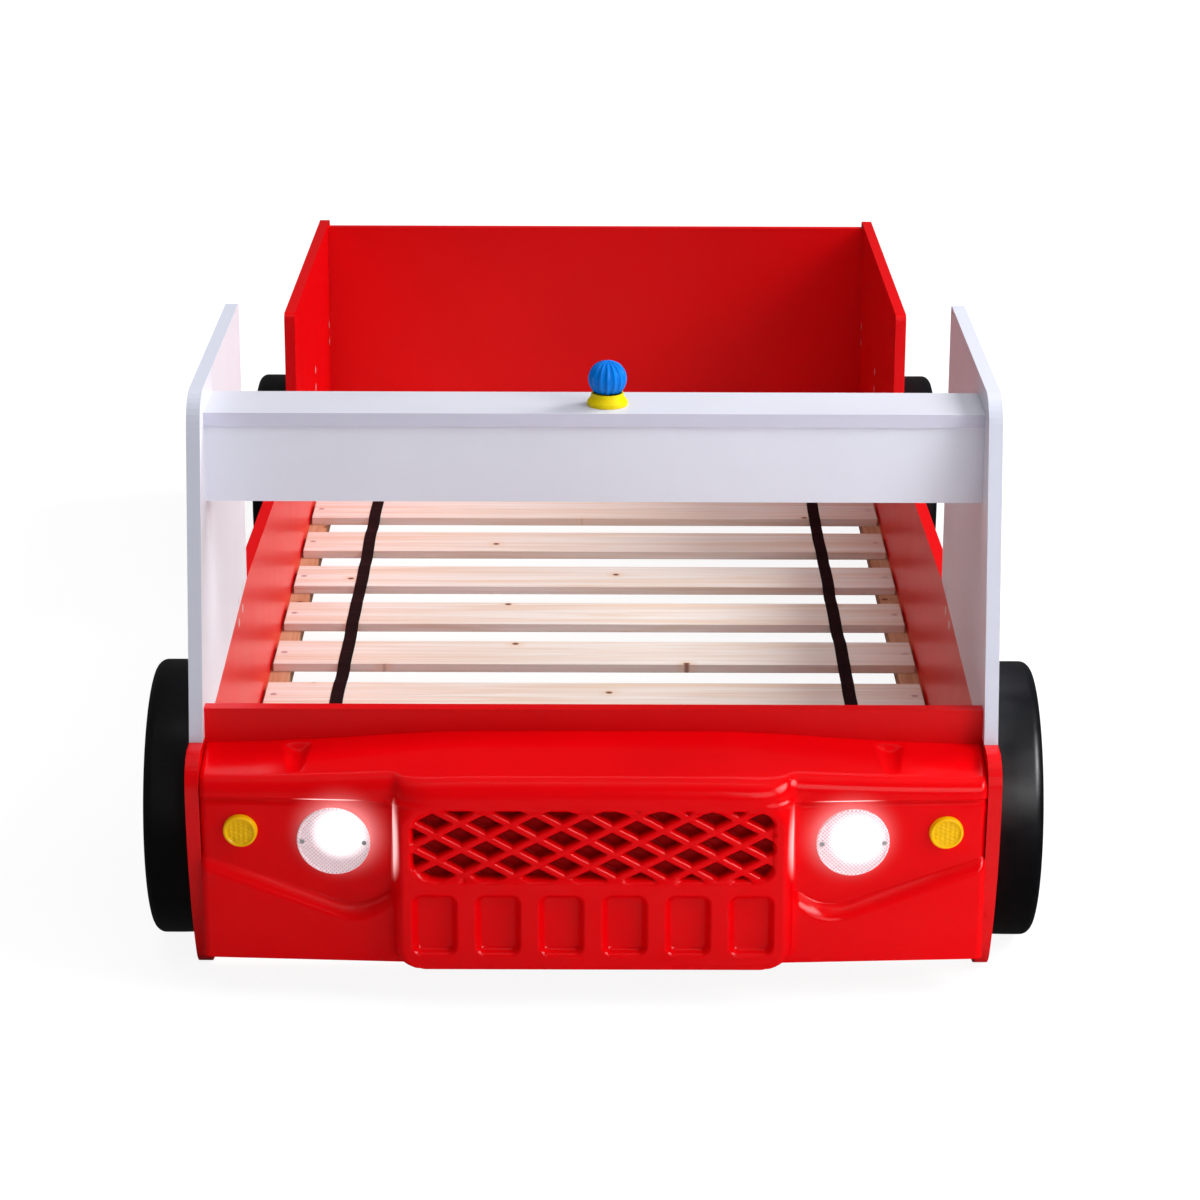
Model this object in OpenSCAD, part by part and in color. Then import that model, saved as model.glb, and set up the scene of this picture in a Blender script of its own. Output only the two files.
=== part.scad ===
// Child's bed in the shape of a truck, for one mattress.
// X runs across the bed, +Y from the nose to the headboard, +Z up. The origin is on the floor,
// at the middle of the bed's length and width.
// Inside the modules Y = 0 is the front face of the front board, and place() moves it into the frame.

/* [Mattress space] */
// Clear width between the side panels
inner_w = 910; // [820:10:1010]
// Clear length between the front board and the headboard
inner_l = 2010; // [1810:10:2110]
// Height of the slats' top above the floor
slat_top_h = 100; // [96:1:120]

/* [Boards] */
// Thickness of the side, roof and head boards
board_t = 16; // [15:0.5:19]
// Thickness of the front board
front_board_t = 18; // [16:0.5:22]
// Height of the front board's top edge
front_board_h = 328; // [312:1:350]
// Height of the headboard's top edge
headboard_h = 462; // [430:1:476]
// Gap between the floor and the two end boards
end_board_lift = 20; // [10:1:26]

/* [Side panels] */
// Height of a side panel's top edge at its front
panel_front_h = 293; // [290:1:300]
// Distance from the front board to where the top edge starts to rise
panel_level_run = 130; // [100:5:200]
// Height of the top edge at the rear of the cab side
panel_peak_h = 318.5; // [305:0.5:325]
// Height of the top edge under the rear side
panel_rear_h = 285; // [275:1:295]
// Reach of the bowed front edge beyond the front board
panel_reach = 80; // [70:1:90]
// Height of the bow's foremost point
panel_bow_h = 250; // [240:1:252]
// Radius of the bowed front edge
panel_bow_r = 440; // [400:10:520]
// Angle of the bow at which the toe's rounding starts
panel_toe_angle = 30; // [26:1:32]
// Length of a side panel behind the headboard
panel_tail = 26; // [10:1:60]
// Radius of the lower rear corner
panel_heel_r = 30; // [10:1:50]

/* [Cab sides] */
// Height of the cab sides
cab_h = 688; // [670:1:720]
// Distance from the front board to the cab sides' rear edge
cab_rear_y = 527; // [480:1:600]
// Overhang of the cab sides' foot in front of the front board
cab_foot = 21; // [10:1:28]
// Angle by which the cab sides' front edge leans back
cab_rake = 11.6; // [8:0.2:14]
// Radius of the cab sides' top front corner
cab_corner_r = 45; // [20:1:60]
// Radius of the small board corners
small_corner_r = 9; // [3:1:12]

/* [Rear sides] */
// Length of the rear sides
rear_side_l = 735; // [600:5:800]
// Height of the rear sides at their front edge
rear_side_front_h = 478; // [465:1:500]
// Height of the rear sides at their rear end
rear_side_back_h = 467; // [455:1:490]

/* [Roof bar] */
// Distance from the front board to the roof shelf's front edge
roof_y = 92; // [85:1:110]
// Depth of the roof shelf
roof_shelf_w = 99; // [80:1:120]
// Distance of the roof shelf's top face below the top of the cab sides
roof_drop = 28; // [23:1:48]
// Height of the face board under the roof shelf
roof_face_h = 92; // [70:1:110]
// Step back of the face board under the shelf's front edge
roof_setback = 4; // [2:1:12]

/* [Beacon] */
// Distance of the beacon from the bed's middle plane
beacon_x = 15; // [0:1:60]
// Distance from the shelf's front edge to the beacon's axis
beacon_inset = 42; // [32:1:60]
// Radius of the beacon's globe
beacon_r = 22.7; // [21:0.1:26]
// Height of the globe's centre above the shelf
beacon_rise = 31.5; // [29:0.5:33]
// Diameter of the beacon's base at its foot
beacon_base_d = 48; // [46:0.5:56]
// Diameter of the beacon's base at its top
beacon_neck_d = 38; // [37:0.5:42]
// Height of the beacon's base
beacon_base_h = 15; // [14:0.5:18]
// Number of ribs on the globe
beacon_ribs = 16; // [12:1:18]

/* [Slats] */
// Width of a slat
slat_w = 99; // [80:1:110]
// Thickness of a slat
slat_t = 12; // [10:0.5:18]
// Gap between a slat's end and the side panel
slat_end_gap = 4; // [2:0.5:8]
// Gap between the front board and the first slat
slat_front_gap = 88; // [70:1:110]
// Gap between the last slat and the headboard
slat_rear_gap = 56; // [30:1:80]
// Width of the strips that carry the slats
ledger_w = 28; // [20:1:40]
// Height of the strips that carry the slats
ledger_h = 22; // [18:1:30]
// Gap between a strip's end and the end boards
ledger_end_gap = 20; // [5:1:40]
// Distance of each strap from the bed's middle plane
strap_x = 351; // [250:1:380]
// Width of the straps
strap_w = 18; // [12:1:30]
// Thickness of the straps
strap_t = 1.2; // [0.8:0.1:2]

/* [Wheels] */
// Radius of a wheel
wheel_r = 166; // [160:1:172]
// Width of a wheel
wheel_w = 58; // [50:1:80]
// Radius of the wheel's outer shoulder
wheel_shoulder_r = 12; // [6:1:20]
// Wall of the hollow wheels
wheel_wall = 3.5; // [2.5:0.5:5]
// Radius of the dished field in the wheel's outer face
wheel_dish_r = 112; // [100:1:125]
// Depth of the dished field
wheel_dish = 9; // [5:0.5:14]
// Radius of the cap in the wheel's middle
hub_r = 36; // [30:1:44]
// Distance from the front board to the front wheels' axis
front_wheel_y = 137; // [125:1:142]
// Distance from the rear end of the side panels to the rear wheels' axis
rear_wheel_in = 557; // [500:1:600]

/* [Nose] */
// Wall of the moulded nose
nose_wall = 3; // [2.5:0.5:4]
// Height of the nose's lower edge
nose_lift = 50; // [40:1:60]
// Reach of the nose beyond the front board at the side panels
nose_end_reach = 84; // [78:1:90]
// Angle by which the nose's sides sweep back
nose_sweep = 3.2; // [1:0.2:5]
// Height of the hood's rear edge in the middle
hood_h = 307; // [300:1:310]
// Height of the hood's rear edge at its ends
hood_end_h = 290; // [287:1:298]
// Half width of the hood's level middle
hood_flat = 180; // [120:5:220]
// Angle by which the hood falls towards the front
hood_slope = 14; // [12:0.5:15]
// Radius of the hood's front edge over the lamps
brow_r = 13; // [6:1:14]
// Radius of the hood's front edge over the grille
grille_brow_r = 20; // [10:1:24]
// Reach of the grille beyond the front board
grille_reach = 118; // [112:1:126]
// Width of the grille
grille_w = 462; // [440:2:480]
// Radius of the grille's corners
grille_corner_r = 36; // [24:1:40]
// Width of the mesh field
mesh_w = 418; // [380:2:424]
// Height of the mesh field
mesh_h = 86; // [70:1:92]
// Height of the mesh field's middle above the floor
mesh_mid_h = 202; // [198:1:206]
// Radius of the mesh field's corners
mesh_corner_r = 22; // [10:1:30]
// Depth of the mesh field
mesh_depth = 14; // [10:0.5:15]
// Pitch of the mesh's ribs along the grille
mesh_pitch_x = 60; // [50:1:70]
// Pitch of the mesh's ribs up the grille
mesh_pitch_z = 31; // [26:1:36]
// Width of the mesh's ribs
mesh_rib_w = 8.5; // [6:0.5:10]
// Depth of the mesh's ribs below the grille's face
mesh_rib_step = 3; // [1:0.5:5]
// Pitch of the six recesses
recess_pitch = 73.2; // [68:0.2:76]
// Width of a recess
recess_w = 47; // [40:0.5:52]
// Height of a recess
recess_h = 70; // [55:1:72]
// Height of the recesses' middle above the floor
recess_mid_h = 105; // [102:1:108]
// Radius of the recesses' corners
recess_corner_r = 6; // [3:1:10]
// Depth of the recesses
recess_depth = 9; // [6:0.5:12]

/* [Lamps] */
// Distance of the lamps from the middle plane
lamp_x = 300; // [296:1:304]
// Height of the lamps' middle
lamp_h = 197; // [192:1:202]
// Height of the hood's lower edge over the lamp field
brow_low_h = 250; // [246:1:253]
// Height of the ledge under the lamps at the side panels
ledge_end_h = 172; // [160:1:176]
// Height of the ledge at its lowest point
ledge_low_h = 110; // [100:1:116]
// Distance of the ledge's lowest point from the middle plane
ledge_corner_x = 271; // [262:1:290]
// Distance of the dents in the hood from the middle plane
dent_x = 345; // [320:5:380]
// Width of a dent's end circle
dent_r = 24; // [18:1:28]
// Depth of a dent
dent_depth = 10; // [4:0.5:12]
// Lean of the lamp field, its top forward
lamp_lean = 6; // [3:0.5:7]
// Depth of the lamp field behind the nose's face at the lamp's middle
lamp_inset = 8; // [6:0.5:9]
// Diameter of a lamp's lens
lens_d = 85; // [80:1:88]
// Height of a lens above the lamp field
lens_rise = 4; // [4:0.5:7]
// Depth of a lamp's bowl
bowl_depth = 30; // [24:1:36]
// Distance of the indicators' middle from the side panel's inner face
indicator_in = 47; // [41:1:51]
// Height of the indicators' middle
indicator_h = 208; // [204:1:212]
// Diameter of an indicator
indicator_d = 40; // [34:1:46]
// Height of an indicator above the lamp field
indicator_rise = 7; // [5:0.5:9]

/* [Battery box] */
// Distance of the battery box's middle from the bed's middle plane
box_x = 200; // [120:5:300]
// Height of the battery box's underside above the floor
box_low_h = 31; // [30:1:32]
// Diameter of a cell
cell_d = 14.2; // [14:0.1:14.5]
// Length of a cell
cell_l = 50.5; // [50:0.1:50.8]
// Angle between the switch's two positions
rocker_throw = 16; // [12:1:18]

/* [Clearances] */
// Side gap round bolts, screws, pins and cams in their holes
hole_gap = 0.3; // [0.2:0.05:0.5]
// Gap between sliding faces
slide_gap = 0.3; // [0.2:0.05:0.5]
// Side gap round the switch's own pivot
pivot_gap = 0.1; // [0.05:0.01:0.15]

/* [Hidden] */
$fn = 64;
over = 1;
slat_count = 11;

half_in = inner_w / 2;
half_out = half_in + board_t;
indicator_x = half_in - indicator_in;
roof_h = cab_h - roof_drop;
head_y = front_board_t + inner_l;
panel_end_y = head_y + board_t + panel_tail;
front_y = grille_reach - (panel_end_y + grille_reach) / 2;
rear_side_y = panel_end_y - rear_side_l;
wheel_ys = [front_wheel_y, panel_end_y - rear_wheel_in];
slat_pitch = (inner_l - slat_front_gap - slat_rear_gap - slat_w) / (slat_count - 1);
slat_ys = [for (i = [0:slat_count - 1]) front_board_t + slat_front_gap + slat_w / 2 + i * slat_pitch];
slat_low_h = slat_top_h - slat_t;

// Nose
hood_fall = (hood_h - hood_end_h) / (half_in - hood_flat);
nose_mid_reach = nose_end_reach + (half_in - grille_w / 2) * tan(nose_sweep);
grille_shoulder_h = hood_z(grille_w / 2, -nose_mid_reach);
dent_start = 14;
panel_brow_drop = 5;
grille_proud = 0.2;
field_lap = 20;
lamp_cut = 60;
ledge_corner_r = 22;
ledge_inner_rise = 28;

hub_cap_t = 3;
hub_cap_edge_r = 1.5;
hub_cap_flat_in = 8;
hub_stud_l = 3;
hub_face = wheel_w - hub_cap_t;
dish_edge_r = 3;
dish_flare = 8;

// Fastener sizes
wood_screw_r = 2;
wood_head_r = 4;
wood_head_h = 1.6;
screw_bite = 10;
bolt_r = 3;
bolt_head_r = 7;
bolt_head_h = 1.5;
bolt_reach = 52;
barrel_r = 5;
barrel_l = 12;
barrel_in = 40;
cam_r = 6;
cam_l = 11;
cam_rise = 11;
cam_drop = 18;
pin_r = 2.5;
staple_w = 10;
staple_d = 1;
staple_h = 0.6;
box_screw_r = 1.75;
box_screw_l = 12;
box_head_r = 3.2;
box_head_h = 1.4;
cam_slot_l = 6;
cam_slot_w = 1.2;

// Where the fasteners stand
ledger_screw_n = 6;
ledger_screw_in = 90;
wheel_screw_ring = 24;
wheel_boss_r = 9;
hub_stud_r = 6;
wheel_screw_in = 14;
wheel_screw_angles = [90, 210, 330];
wheel_ribs = 3;
wheel_rib_t = 3;
cab_cam_in = 61;
cab_cam_pitch = 49;
cab_cam_ys = [cab_rear_y - cab_cam_in - cab_cam_pitch, cab_rear_y - cab_cam_in];
rear_cam_in = 60;
rear_cam_ys = [rear_side_y + rear_cam_in, rear_side_y + rear_side_l / 2, panel_end_y - rear_cam_in];
front_bolt_off = 60;
head_bolt_in = 60;
head_bolt_drop = 222;
corner_bolt_front_hs = [wheel_r - front_bolt_off, wheel_r + front_bolt_off];
corner_bolt_head_hs = [end_board_lift + head_bolt_in, headboard_h - head_bolt_drop];
nose_screw_in = 22;
nose_mid_screw_in = 52;
nose_foot_screw_rise = 30;
nose_mid_screw_rise = 110;
nose_top_screw_drop = 60;
nose_screw_pts = [[-nose_screw_in, nose_lift + nose_foot_screw_rise],
    [-nose_mid_screw_in, nose_lift + nose_mid_screw_rise],
    [-nose_screw_in, hood_end_h - nose_top_screw_drop]];
roof_screw_in = 25;
roof_screw_pts = [
    [roof_y + roof_screw_in, roof_h - board_t / 2],
    [roof_y + roof_shelf_w - roof_screw_in, roof_h - board_t / 2],
    [roof_y + roof_setback + board_t / 2, roof_h - board_t - roof_face_h / 2]];
roof_screw_l = 45;

// Height of the side panel's top edge at distance y
function panel_top(y) =
    y <= panel_level_run ? panel_front_h
    : y <= cab_rear_y ? panel_front_h + (y - panel_level_run) / (cab_rear_y - panel_level_run)
        * (panel_peak_h - panel_front_h)
    : y <= rear_side_y ? panel_peak_h + (y - cab_rear_y) / (rear_side_y - cab_rear_y)
        * (panel_rear_h - panel_peak_h)
    : panel_rear_h;

// Points along an arc
function arc(c, r, from, to, steps = 12) =
    [for (i = [0:steps]) let (a = from + (to - from) * i / steps) [c[0] + r * cos(a), c[1] + r * sin(a)]];

// A polygon's outline with each corner [x, y, r] rounded by its own radius
function unit(v) = v / norm(v);
function rounded(pts, steps = 8) = [
    for (i = [0:len(pts) - 1])
        let (p = [pts[i][0], pts[i][1]], r = pts[i][2],
            q = pts[(i + len(pts) - 1) % len(pts)], n = pts[(i + 1) % len(pts)],
            u = unit([q[0], q[1]] - p), v = unit([n[0], n[1]] - p),
            half = acos(u * v) / 2, c = p + unit(u + v) * r / sin(half),
            from = p + u * r / tan(half), to = p + v * r / tan(half),
            a = atan2(from[1] - c[1], from[0] - c[0]),
            b = atan2(to[1] - c[1], to[0] - c[0]),
            turn = b - a > 180 ? b - a - 360 : b - a < -180 ? b - a + 360 : b - a)
        each (r > 0 ? arc(c, r, a, a + turn, steps) : [p])];

function rect(x0, y0, x1, y1, r) = rounded([[x0, y0, r], [x1, y0, r], [x1, y1, r], [x0, y1, r]]);

module place() translate([0, front_y, 0]) children();

// Mirrors its children to the side s, -1 left or 1 right
module side(s) mirror([s < 0 ? 1 : 0, 0, 0]) children();

// A board in the Y-Z plane, its inner face on the right side panel's inner face
module side_board(pts) translate([half_in, 0, 0]) rotate([90, 0, 90]) linear_extrude(board_t) polygon(pts);

// A round bar along +X from x0 to x1 at [y, z]
module bar_x(x0, x1, at, r) translate([x0, at[0], at[1]]) rotate([0, 90, 0]) cylinder(r = r, h = x1 - x0);

// Cylinders for everything that is bored into the right side panel, cab side and rear side
module side_bores() {
    for (y = cab_cam_ys) cam_bore(y);
    for (y = rear_cam_ys) cam_bore(y);
    for (p = corner_bolts_at()) bar_x(half_in - over, half_out + over, p, bolt_r + hole_gap);
    for (y = ledger_screw_ys())
        bar_x(half_in - over, half_in + screw_bite + over, [y, ledger_mid_h()], wood_screw_r + hole_gap);
    for (y = wheel_ys, a = wheel_screw_angles) {
        at = [y + wheel_screw_ring * cos(a), wheel_r + wheel_screw_ring * sin(a)];
        bar_x(half_in - over, half_out + over, at, wood_screw_r + hole_gap);
        bar_x(half_in - over, half_in + wood_head_h + hole_gap, at, wood_head_r + hole_gap);
    }
    for (p = nose_screw_pts) bar_x(half_in - over, half_in + screw_bite + over, p, wood_screw_r + hole_gap);
    for (p = roof_screw_pts) {
        bar_x(half_in - over, half_out + over, p, wood_screw_r + hole_gap);
        bar_x(half_out - wood_head_h - hole_gap, half_out + over, p, wood_head_r + hole_gap);
    }
}

module cam_bore(y) {
    for (h = [panel_top(y) + cam_rise, panel_top(y) - cam_drop])
        bar_x(half_in - over, half_in + cam_l + hole_gap, [y, h], cam_r + hole_gap);
    translate([half_in + board_t / 2, y, panel_top(y) - cam_drop])
        cylinder(r = pin_r + hole_gap, h = cam_rise + cam_drop);
}

function ledger_mid_h() = slat_low_h - ledger_h / 2;
function ledger_screw_ys() = [for (i = [0:ledger_screw_n - 1])
    front_board_t + ledger_end_gap + ledger_screw_in
        + i * (inner_l - 2 * ledger_end_gap - 2 * ledger_screw_in) / (ledger_screw_n - 1)];

module side_panel(s) color("red") place() side(s) difference() {
    brow_r = panel_front_h - panel_bow_h - panel_brow_drop;
    toe_h = panel_bow_h - panel_bow_r * sin(panel_toe_angle);
    toe_y = panel_bow_r - panel_reach - panel_bow_r * cos(panel_toe_angle);
    toe_r = toe_h / (1 - sin(panel_toe_angle));
    side_board(concat(
        [[panel_end_y, panel_rear_h], [rear_side_y, panel_rear_h], [cab_rear_y, panel_peak_h],
            [panel_level_run, panel_front_h]],
        arc([brow_r - panel_reach, panel_front_h - brow_r], brow_r, 90, 180),
        arc([panel_bow_r - panel_reach, panel_bow_h], panel_bow_r, 180, 180 + panel_toe_angle),
        arc([toe_y + toe_r * cos(panel_toe_angle), toe_r], toe_r, 180 + panel_toe_angle, 270),
        arc([panel_end_y - panel_heel_r, panel_heel_r], panel_heel_r, 270, 360)));
    side_bores();
}

module cab_side(s) color("white") place() side(s) difference() {
    top_y = (cab_h - panel_front_h) * tan(cab_rake) - cab_foot;
    side_board(rounded([[-cab_foot, panel_front_h, 0], [panel_level_run, panel_front_h, 0],
        [cab_rear_y, panel_peak_h, 0], [cab_rear_y, cab_h, small_corner_r], [top_y, cab_h, cab_corner_r]]));
    side_bores();
}

module rear_side(s) color("red") place() side(s) difference() {
    side_board(rounded([[rear_side_y, panel_rear_h, 0], [panel_end_y, panel_rear_h, 0],
        [panel_end_y, rear_side_back_h, small_corner_r], [rear_side_y, rear_side_front_h, small_corner_r]]));
    side_bores();
}

// The bores that an end board of thickness t has at y for its corner bolts
module corner_bores(y, t, hs) {
    for (s = [-1, 1], h = hs) side(s) {
        bar_x(half_in - bolt_reach - over, half_in + over, [y + t / 2, h], bolt_r + hole_gap);
        translate([half_in - barrel_in, y + t / 2 - barrel_l / 2 - hole_gap, h]) rotate([-90, 0, 0])
            cylinder(r = barrel_r + hole_gap, h = t);
    }
}

module front_board() color("red") place() difference() {
    translate([-half_in, 0, end_board_lift]) cube([inner_w, front_board_t, front_board_h - end_board_lift]);
    corner_bores(0, front_board_t, corner_bolt_front_hs);
    for (x = box_screw_xs()) translate([x, front_board_t - screw_bite, box_mid_h]) rotate([-90, 0, 0])
        cylinder(r = box_screw_r + hole_gap, h = screw_bite + over);
}

module headboard() color("red") place() difference() {
    translate([-half_in, head_y, end_board_lift]) cube([inner_w, board_t, headboard_h - end_board_lift]);
    corner_bores(head_y, board_t, corner_bolt_head_hs);
}

// Bores in the roof boards for the screws through the cab sides
module roof_bores() for (s = [-1, 1], p = roof_screw_pts) side(s)
    bar_x(half_out - roof_screw_l - over, half_in + over, p, wood_screw_r + hole_gap);

module roof_shelf() color("white") place() difference() {
    translate([-half_in, roof_y, roof_h - board_t]) cube([inner_w, roof_shelf_w, board_t]);
    roof_bores();
    translate([beacon_x, roof_y + beacon_inset, roof_h - board_t - over]) {
        cylinder(r = wood_screw_r + hole_gap, h = board_t + 2 * over);
        cylinder(r = wood_head_r + hole_gap, h = over + wood_head_h + hole_gap);
    }
}

module roof_face_board() color("white") place() difference() {
    translate([-half_in, roof_y + roof_setback, roof_h - board_t - roof_face_h])
        cube([inner_w, board_t, roof_face_h]);
    roof_bores();
}

module at_beacon() place() translate([beacon_x, roof_y + beacon_inset, roof_h]) children();

beacon_rib_h = 1;
beacon_rib_t = 1.4;
beacon_rib_in = 6;
stem_r = 9;
stem_l = 8;
beacon_screw_l = 32;
beacon_foot_h = 5;
beacon_taper_h = 11;

module beacon_base() color("yellow") at_beacon() difference() {
    rotate_extrude() polygon(rounded([[0, 0, 0], [beacon_base_d / 2, 0, 0],
        [beacon_base_d / 2, beacon_foot_h, 3], [beacon_neck_d / 2, beacon_taper_h, 4],
        [beacon_neck_d / 2, beacon_base_h, 0.8], [0, beacon_base_h, 0]]));
    translate([0, 0, beacon_base_h - stem_l]) cylinder(r = stem_r + hole_gap, h = stem_l + over);
    translate([0, 0, -over]) cylinder(r = wood_screw_r + hole_gap, h = beacon_base_h);
}

module beacon_globe() color("royalblue") at_beacon() difference() {
    union() {
        intersection() {
            union() {
                translate([0, 0, beacon_rise]) sphere(r = beacon_r - beacon_rib_h);
                for (i = [0:beacon_ribs - 1]) rotate([0, 0, 360 * i / beacon_ribs]) beacon_rib();
            }
            translate([-beacon_r - over, -beacon_r - over, beacon_base_h]) cube(2 * beacon_r + 2 * over);
        }
        translate([0, 0, beacon_base_h - stem_l]) cylinder(r = stem_r, h = stem_l + over);
    }
    cylinder(r = wood_screw_r + hole_gap, h = beacon_screw_l - board_t + over);
}

// An upright rib on the globe, which ends short of the globe's top
module beacon_rib() intersection() {
    translate([0, 0, beacon_rise]) rotate([90, 0, 0])
        cylinder(r = beacon_r, h = beacon_rib_t, center = true);
    translate([beacon_rib_in, -beacon_rib_t, 0])
        cube([beacon_r, 2 * beacon_rib_t, 2 * beacon_r + beacon_rise]);
}

// A screw along +Z with its flat head's face at z = 0
module screw(l, r = wood_screw_r, head_r = wood_head_r, head_h = wood_head_h) {
    cylinder(r = r, h = l);
    cylinder(r = head_r, h = head_h);
}

module beacon_screw() color("silver") at_beacon() translate([0, 0, -board_t]) screw(beacon_screw_l);

// Turns +Z to +X and moves it to x at [y, z]
module along_x(x, at) translate([x, at[0], at[1]]) rotate([0, 90, 0]) children();

// The moulded nose's outer form shrunk by t, which also gives its hollow
module nose_form(t) difference() {
    union() {
        for (s = [-1, 1]) side(s) difference() {
            nose_cheek(t);
            lamp_field(t);
        }
        grille_block(t);
    }
    for (s = [-1, 1]) side(s) hood_dent(t);
    front_slab(mesh_w / 2 + t, mesh_mid_h - mesh_h / 2 - t, mesh_mid_h + mesh_h / 2 + t,
        -grille_reach - over, mesh_depth - grille_reach + t, mesh_corner_r + t);
    for (i = [-2.5:2.5]) translate([i * recess_pitch, 0, 0])
        front_slab(recess_w / 2 + t, recess_mid_h - recess_h / 2 - t, recess_mid_h + recess_h / 2 + t,
            -grille_reach - over, recess_depth - grille_reach + t, recess_corner_r + t);
}

// The hood's height at [x, y] on the right
function hood_z(x, y) = hood_h + y * tan(hood_slope) - max(x - hood_flat, 0) * hood_fall;

// A block from x0 to x1 along the hood's front edge through [x, y]. The edge is swept back and
// falls outward, its corner has the radius r, and the block is shrunk by t.
module hood_block(x, y, sweep, fall, r, x0, x1, t) {
    pitch = atan(sin(sweep) * tan(hood_slope) - cos(sweep) * fall);
    slope = (cos(sweep) * tan(hood_slope) + sin(sweep) * fall) * cos(pitch);
    skin = t * sqrt(1 + slope * slope);
    translate([x, y, hood_z(x, y)]) rotate([0, 0, sweep]) rotate([0, -pitch, 0]) translate([x0, 0, 0])
        rotate([90, 0, 90]) linear_extrude(x1 - x0) polygon(rounded([
            [t, -2 * hood_h, 0], [2 * grille_reach, -2 * hood_h, 0],
            [2 * grille_reach, 2 * grille_reach * slope - skin, 0], [t, t * slope - skin, r - t]]));
}

// Keeps what lies in front of the front board from x0 to x1, above the nose's lower edge
module nose_box(x0, x1, t) {
    open = t > 0 ? 2 * over : 0;
    translate([x0, -2 * grille_reach, nose_lift - open])
        cube([x1 - x0, 2 * grille_reach + open, 2 * hood_h]);
}

module nose_cheek(t) intersection() {
    hood_block(half_in, -nose_end_reach, nose_sweep, hood_fall, brow_r, -half_in, 60, t);
    nose_box(hood_flat, half_in - t, t);
}

// The grille's block stands a little proud of the hood on both sides of it
module grille_block(t) intersection() {
    translate([0, 0, grille_proud]) intersection() {
        hood_block(0, -grille_reach, 0, 0, grille_brow_r, -grille_w, grille_w, t);
        for (s = [-1, 1]) side(s)
            hood_block(hood_flat, -grille_reach, 0, hood_fall, grille_brow_r, -2 * grille_w, grille_w, t);
    }
    nose_box(-grille_w, grille_w, t);
    union() {
        front_slab(grille_w / 2 - t, nose_lift + t, grille_shoulder_h - t, -2 * grille_reach, 2 * over,
            grille_corner_r - t);
        translate([grille_corner_r + t - grille_w / 2, -2 * grille_reach, 0])
            cube([grille_w - 2 * grille_corner_r - 2 * t, 3 * grille_reach, 2 * hood_h]);
    }
}

// A V-shaped dent in the hood, deepest at the rear
module hood_dent(t) {
    front = [dent_x, -nose_end_reach, hood_z(dent_x, -nose_end_reach)];
    rear = [dent_x, -dent_start, hood_z(dent_x, -dent_start) + dent_r - dent_depth];
    run = rear - front;
    translate(front) rotate([-atan2(run[1], run[2]), 0, 0])
        cylinder(r1 = t, r2 = dent_r + t, h = norm(run) + t);
}

// A slab with rounded corners that faces forward, from y0 back to y1
module front_slab(half, z0, z1, y0, y1, r) translate([0, y1, 0]) rotate([90, 0, 0])
    linear_extrude(y1 - y0) polygon(rect(-half, z0, half, z1, r));

// The right lamp's own axes: +Z out of the lamp field, +Y up it, the origin on the field
module at_lamp(x = lamp_x, h = lamp_h) {
    face_y = lamp_inset - nose_end_reach - (half_in - lamp_x) * tan(nose_sweep);
    translate([lamp_x, face_y, lamp_h]) rotate([90 + lamp_lean, 0, nose_sweep])
        translate([x - lamp_x, (h - lamp_h) / cos(lamp_lean), 0]) children();
}

// What is cut away in front of the sunk lamp field
module lamp_field(t) at_lamp() translate([0, 0, -t]) linear_extrude(lamp_cut) polygon(rounded([
    [grille_w / 2 - lamp_x - field_lap, brow_low_h - lamp_h + t, 0],
    [half_in - lamp_x + field_lap, brow_low_h - lamp_h + t, 0],
    [half_in - lamp_x + field_lap, ledge_end_h - lamp_h - t, 0],
    [ledge_corner_x - lamp_x - t, ledge_low_h - lamp_h - t, ledge_corner_r],
    [grille_w / 2 - lamp_x - field_lap, ledge_low_h - lamp_h + ledge_inner_rise - t, 0]]));

module nose_shell() color("red") place() {
    difference() {
        nose_form(0);
        nose_form(nose_wall);
        for (s = [-1, 1]) side(s) {
            at_lamp() translate([0, 0, -lamp_cut / 2]) cylinder(d = bowl_d + 2 * hole_gap, h = lamp_cut);
            at_lamp(indicator_x, indicator_h) translate([0, 0, -lamp_cut / 2])
                cylinder(r = indicator_stud_r + hole_gap, h = lamp_cut);
            for (p = nose_screw_pts)
                bar_x(half_in - nose_wall - over, half_in + over, p, wood_screw_r + hole_gap);
        }
    }
    mesh_ribs();
}

// Crossing ribs on the floor of the mesh field
module mesh_ribs() {
    lean = atan(mesh_pitch_z / mesh_pitch_x);
    n = ceil((mesh_w / 2 + mesh_h / 2 / tan(lean)) / mesh_pitch_x);
    intersection() {
        front_slab(mesh_w / 2 + over / 2, mesh_mid_h - (mesh_h + over) / 2, mesh_mid_h + (mesh_h + over) / 2,
            mesh_rib_step - grille_reach, mesh_depth - grille_reach + over / 2, mesh_corner_r + over / 2);
        for (i = [-n:n], a = [-lean, lean])
            translate([i * mesh_pitch_x, mesh_depth - grille_reach, mesh_mid_h]) rotate([0, a, 0])
                translate([0, -mesh_depth / 2, 0])
                    cube([2 * mesh_h / sin(lean), mesh_depth + over, mesh_rib_w], center = true);
    }
}

indicator_stud_r = 3;
indicator_stud_l = 6;
indicator_rim = 4;
indicator_dish = 1.4;
lens_wall = 2.5;
lens_screw_in = 6.5;
lens_head_r = 2.8;
lens_head_h = 1.2;
bowl_d = lens_d - 2 * lens_wall - 2 * slide_gap;
lens_screw_x = lens_d / 2 - lens_screw_in;
lens_screw_r = 1.3;
lens_screw_l = 16;
bowl_wall = 2.5;
bowl_boss_r = 4;

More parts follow.
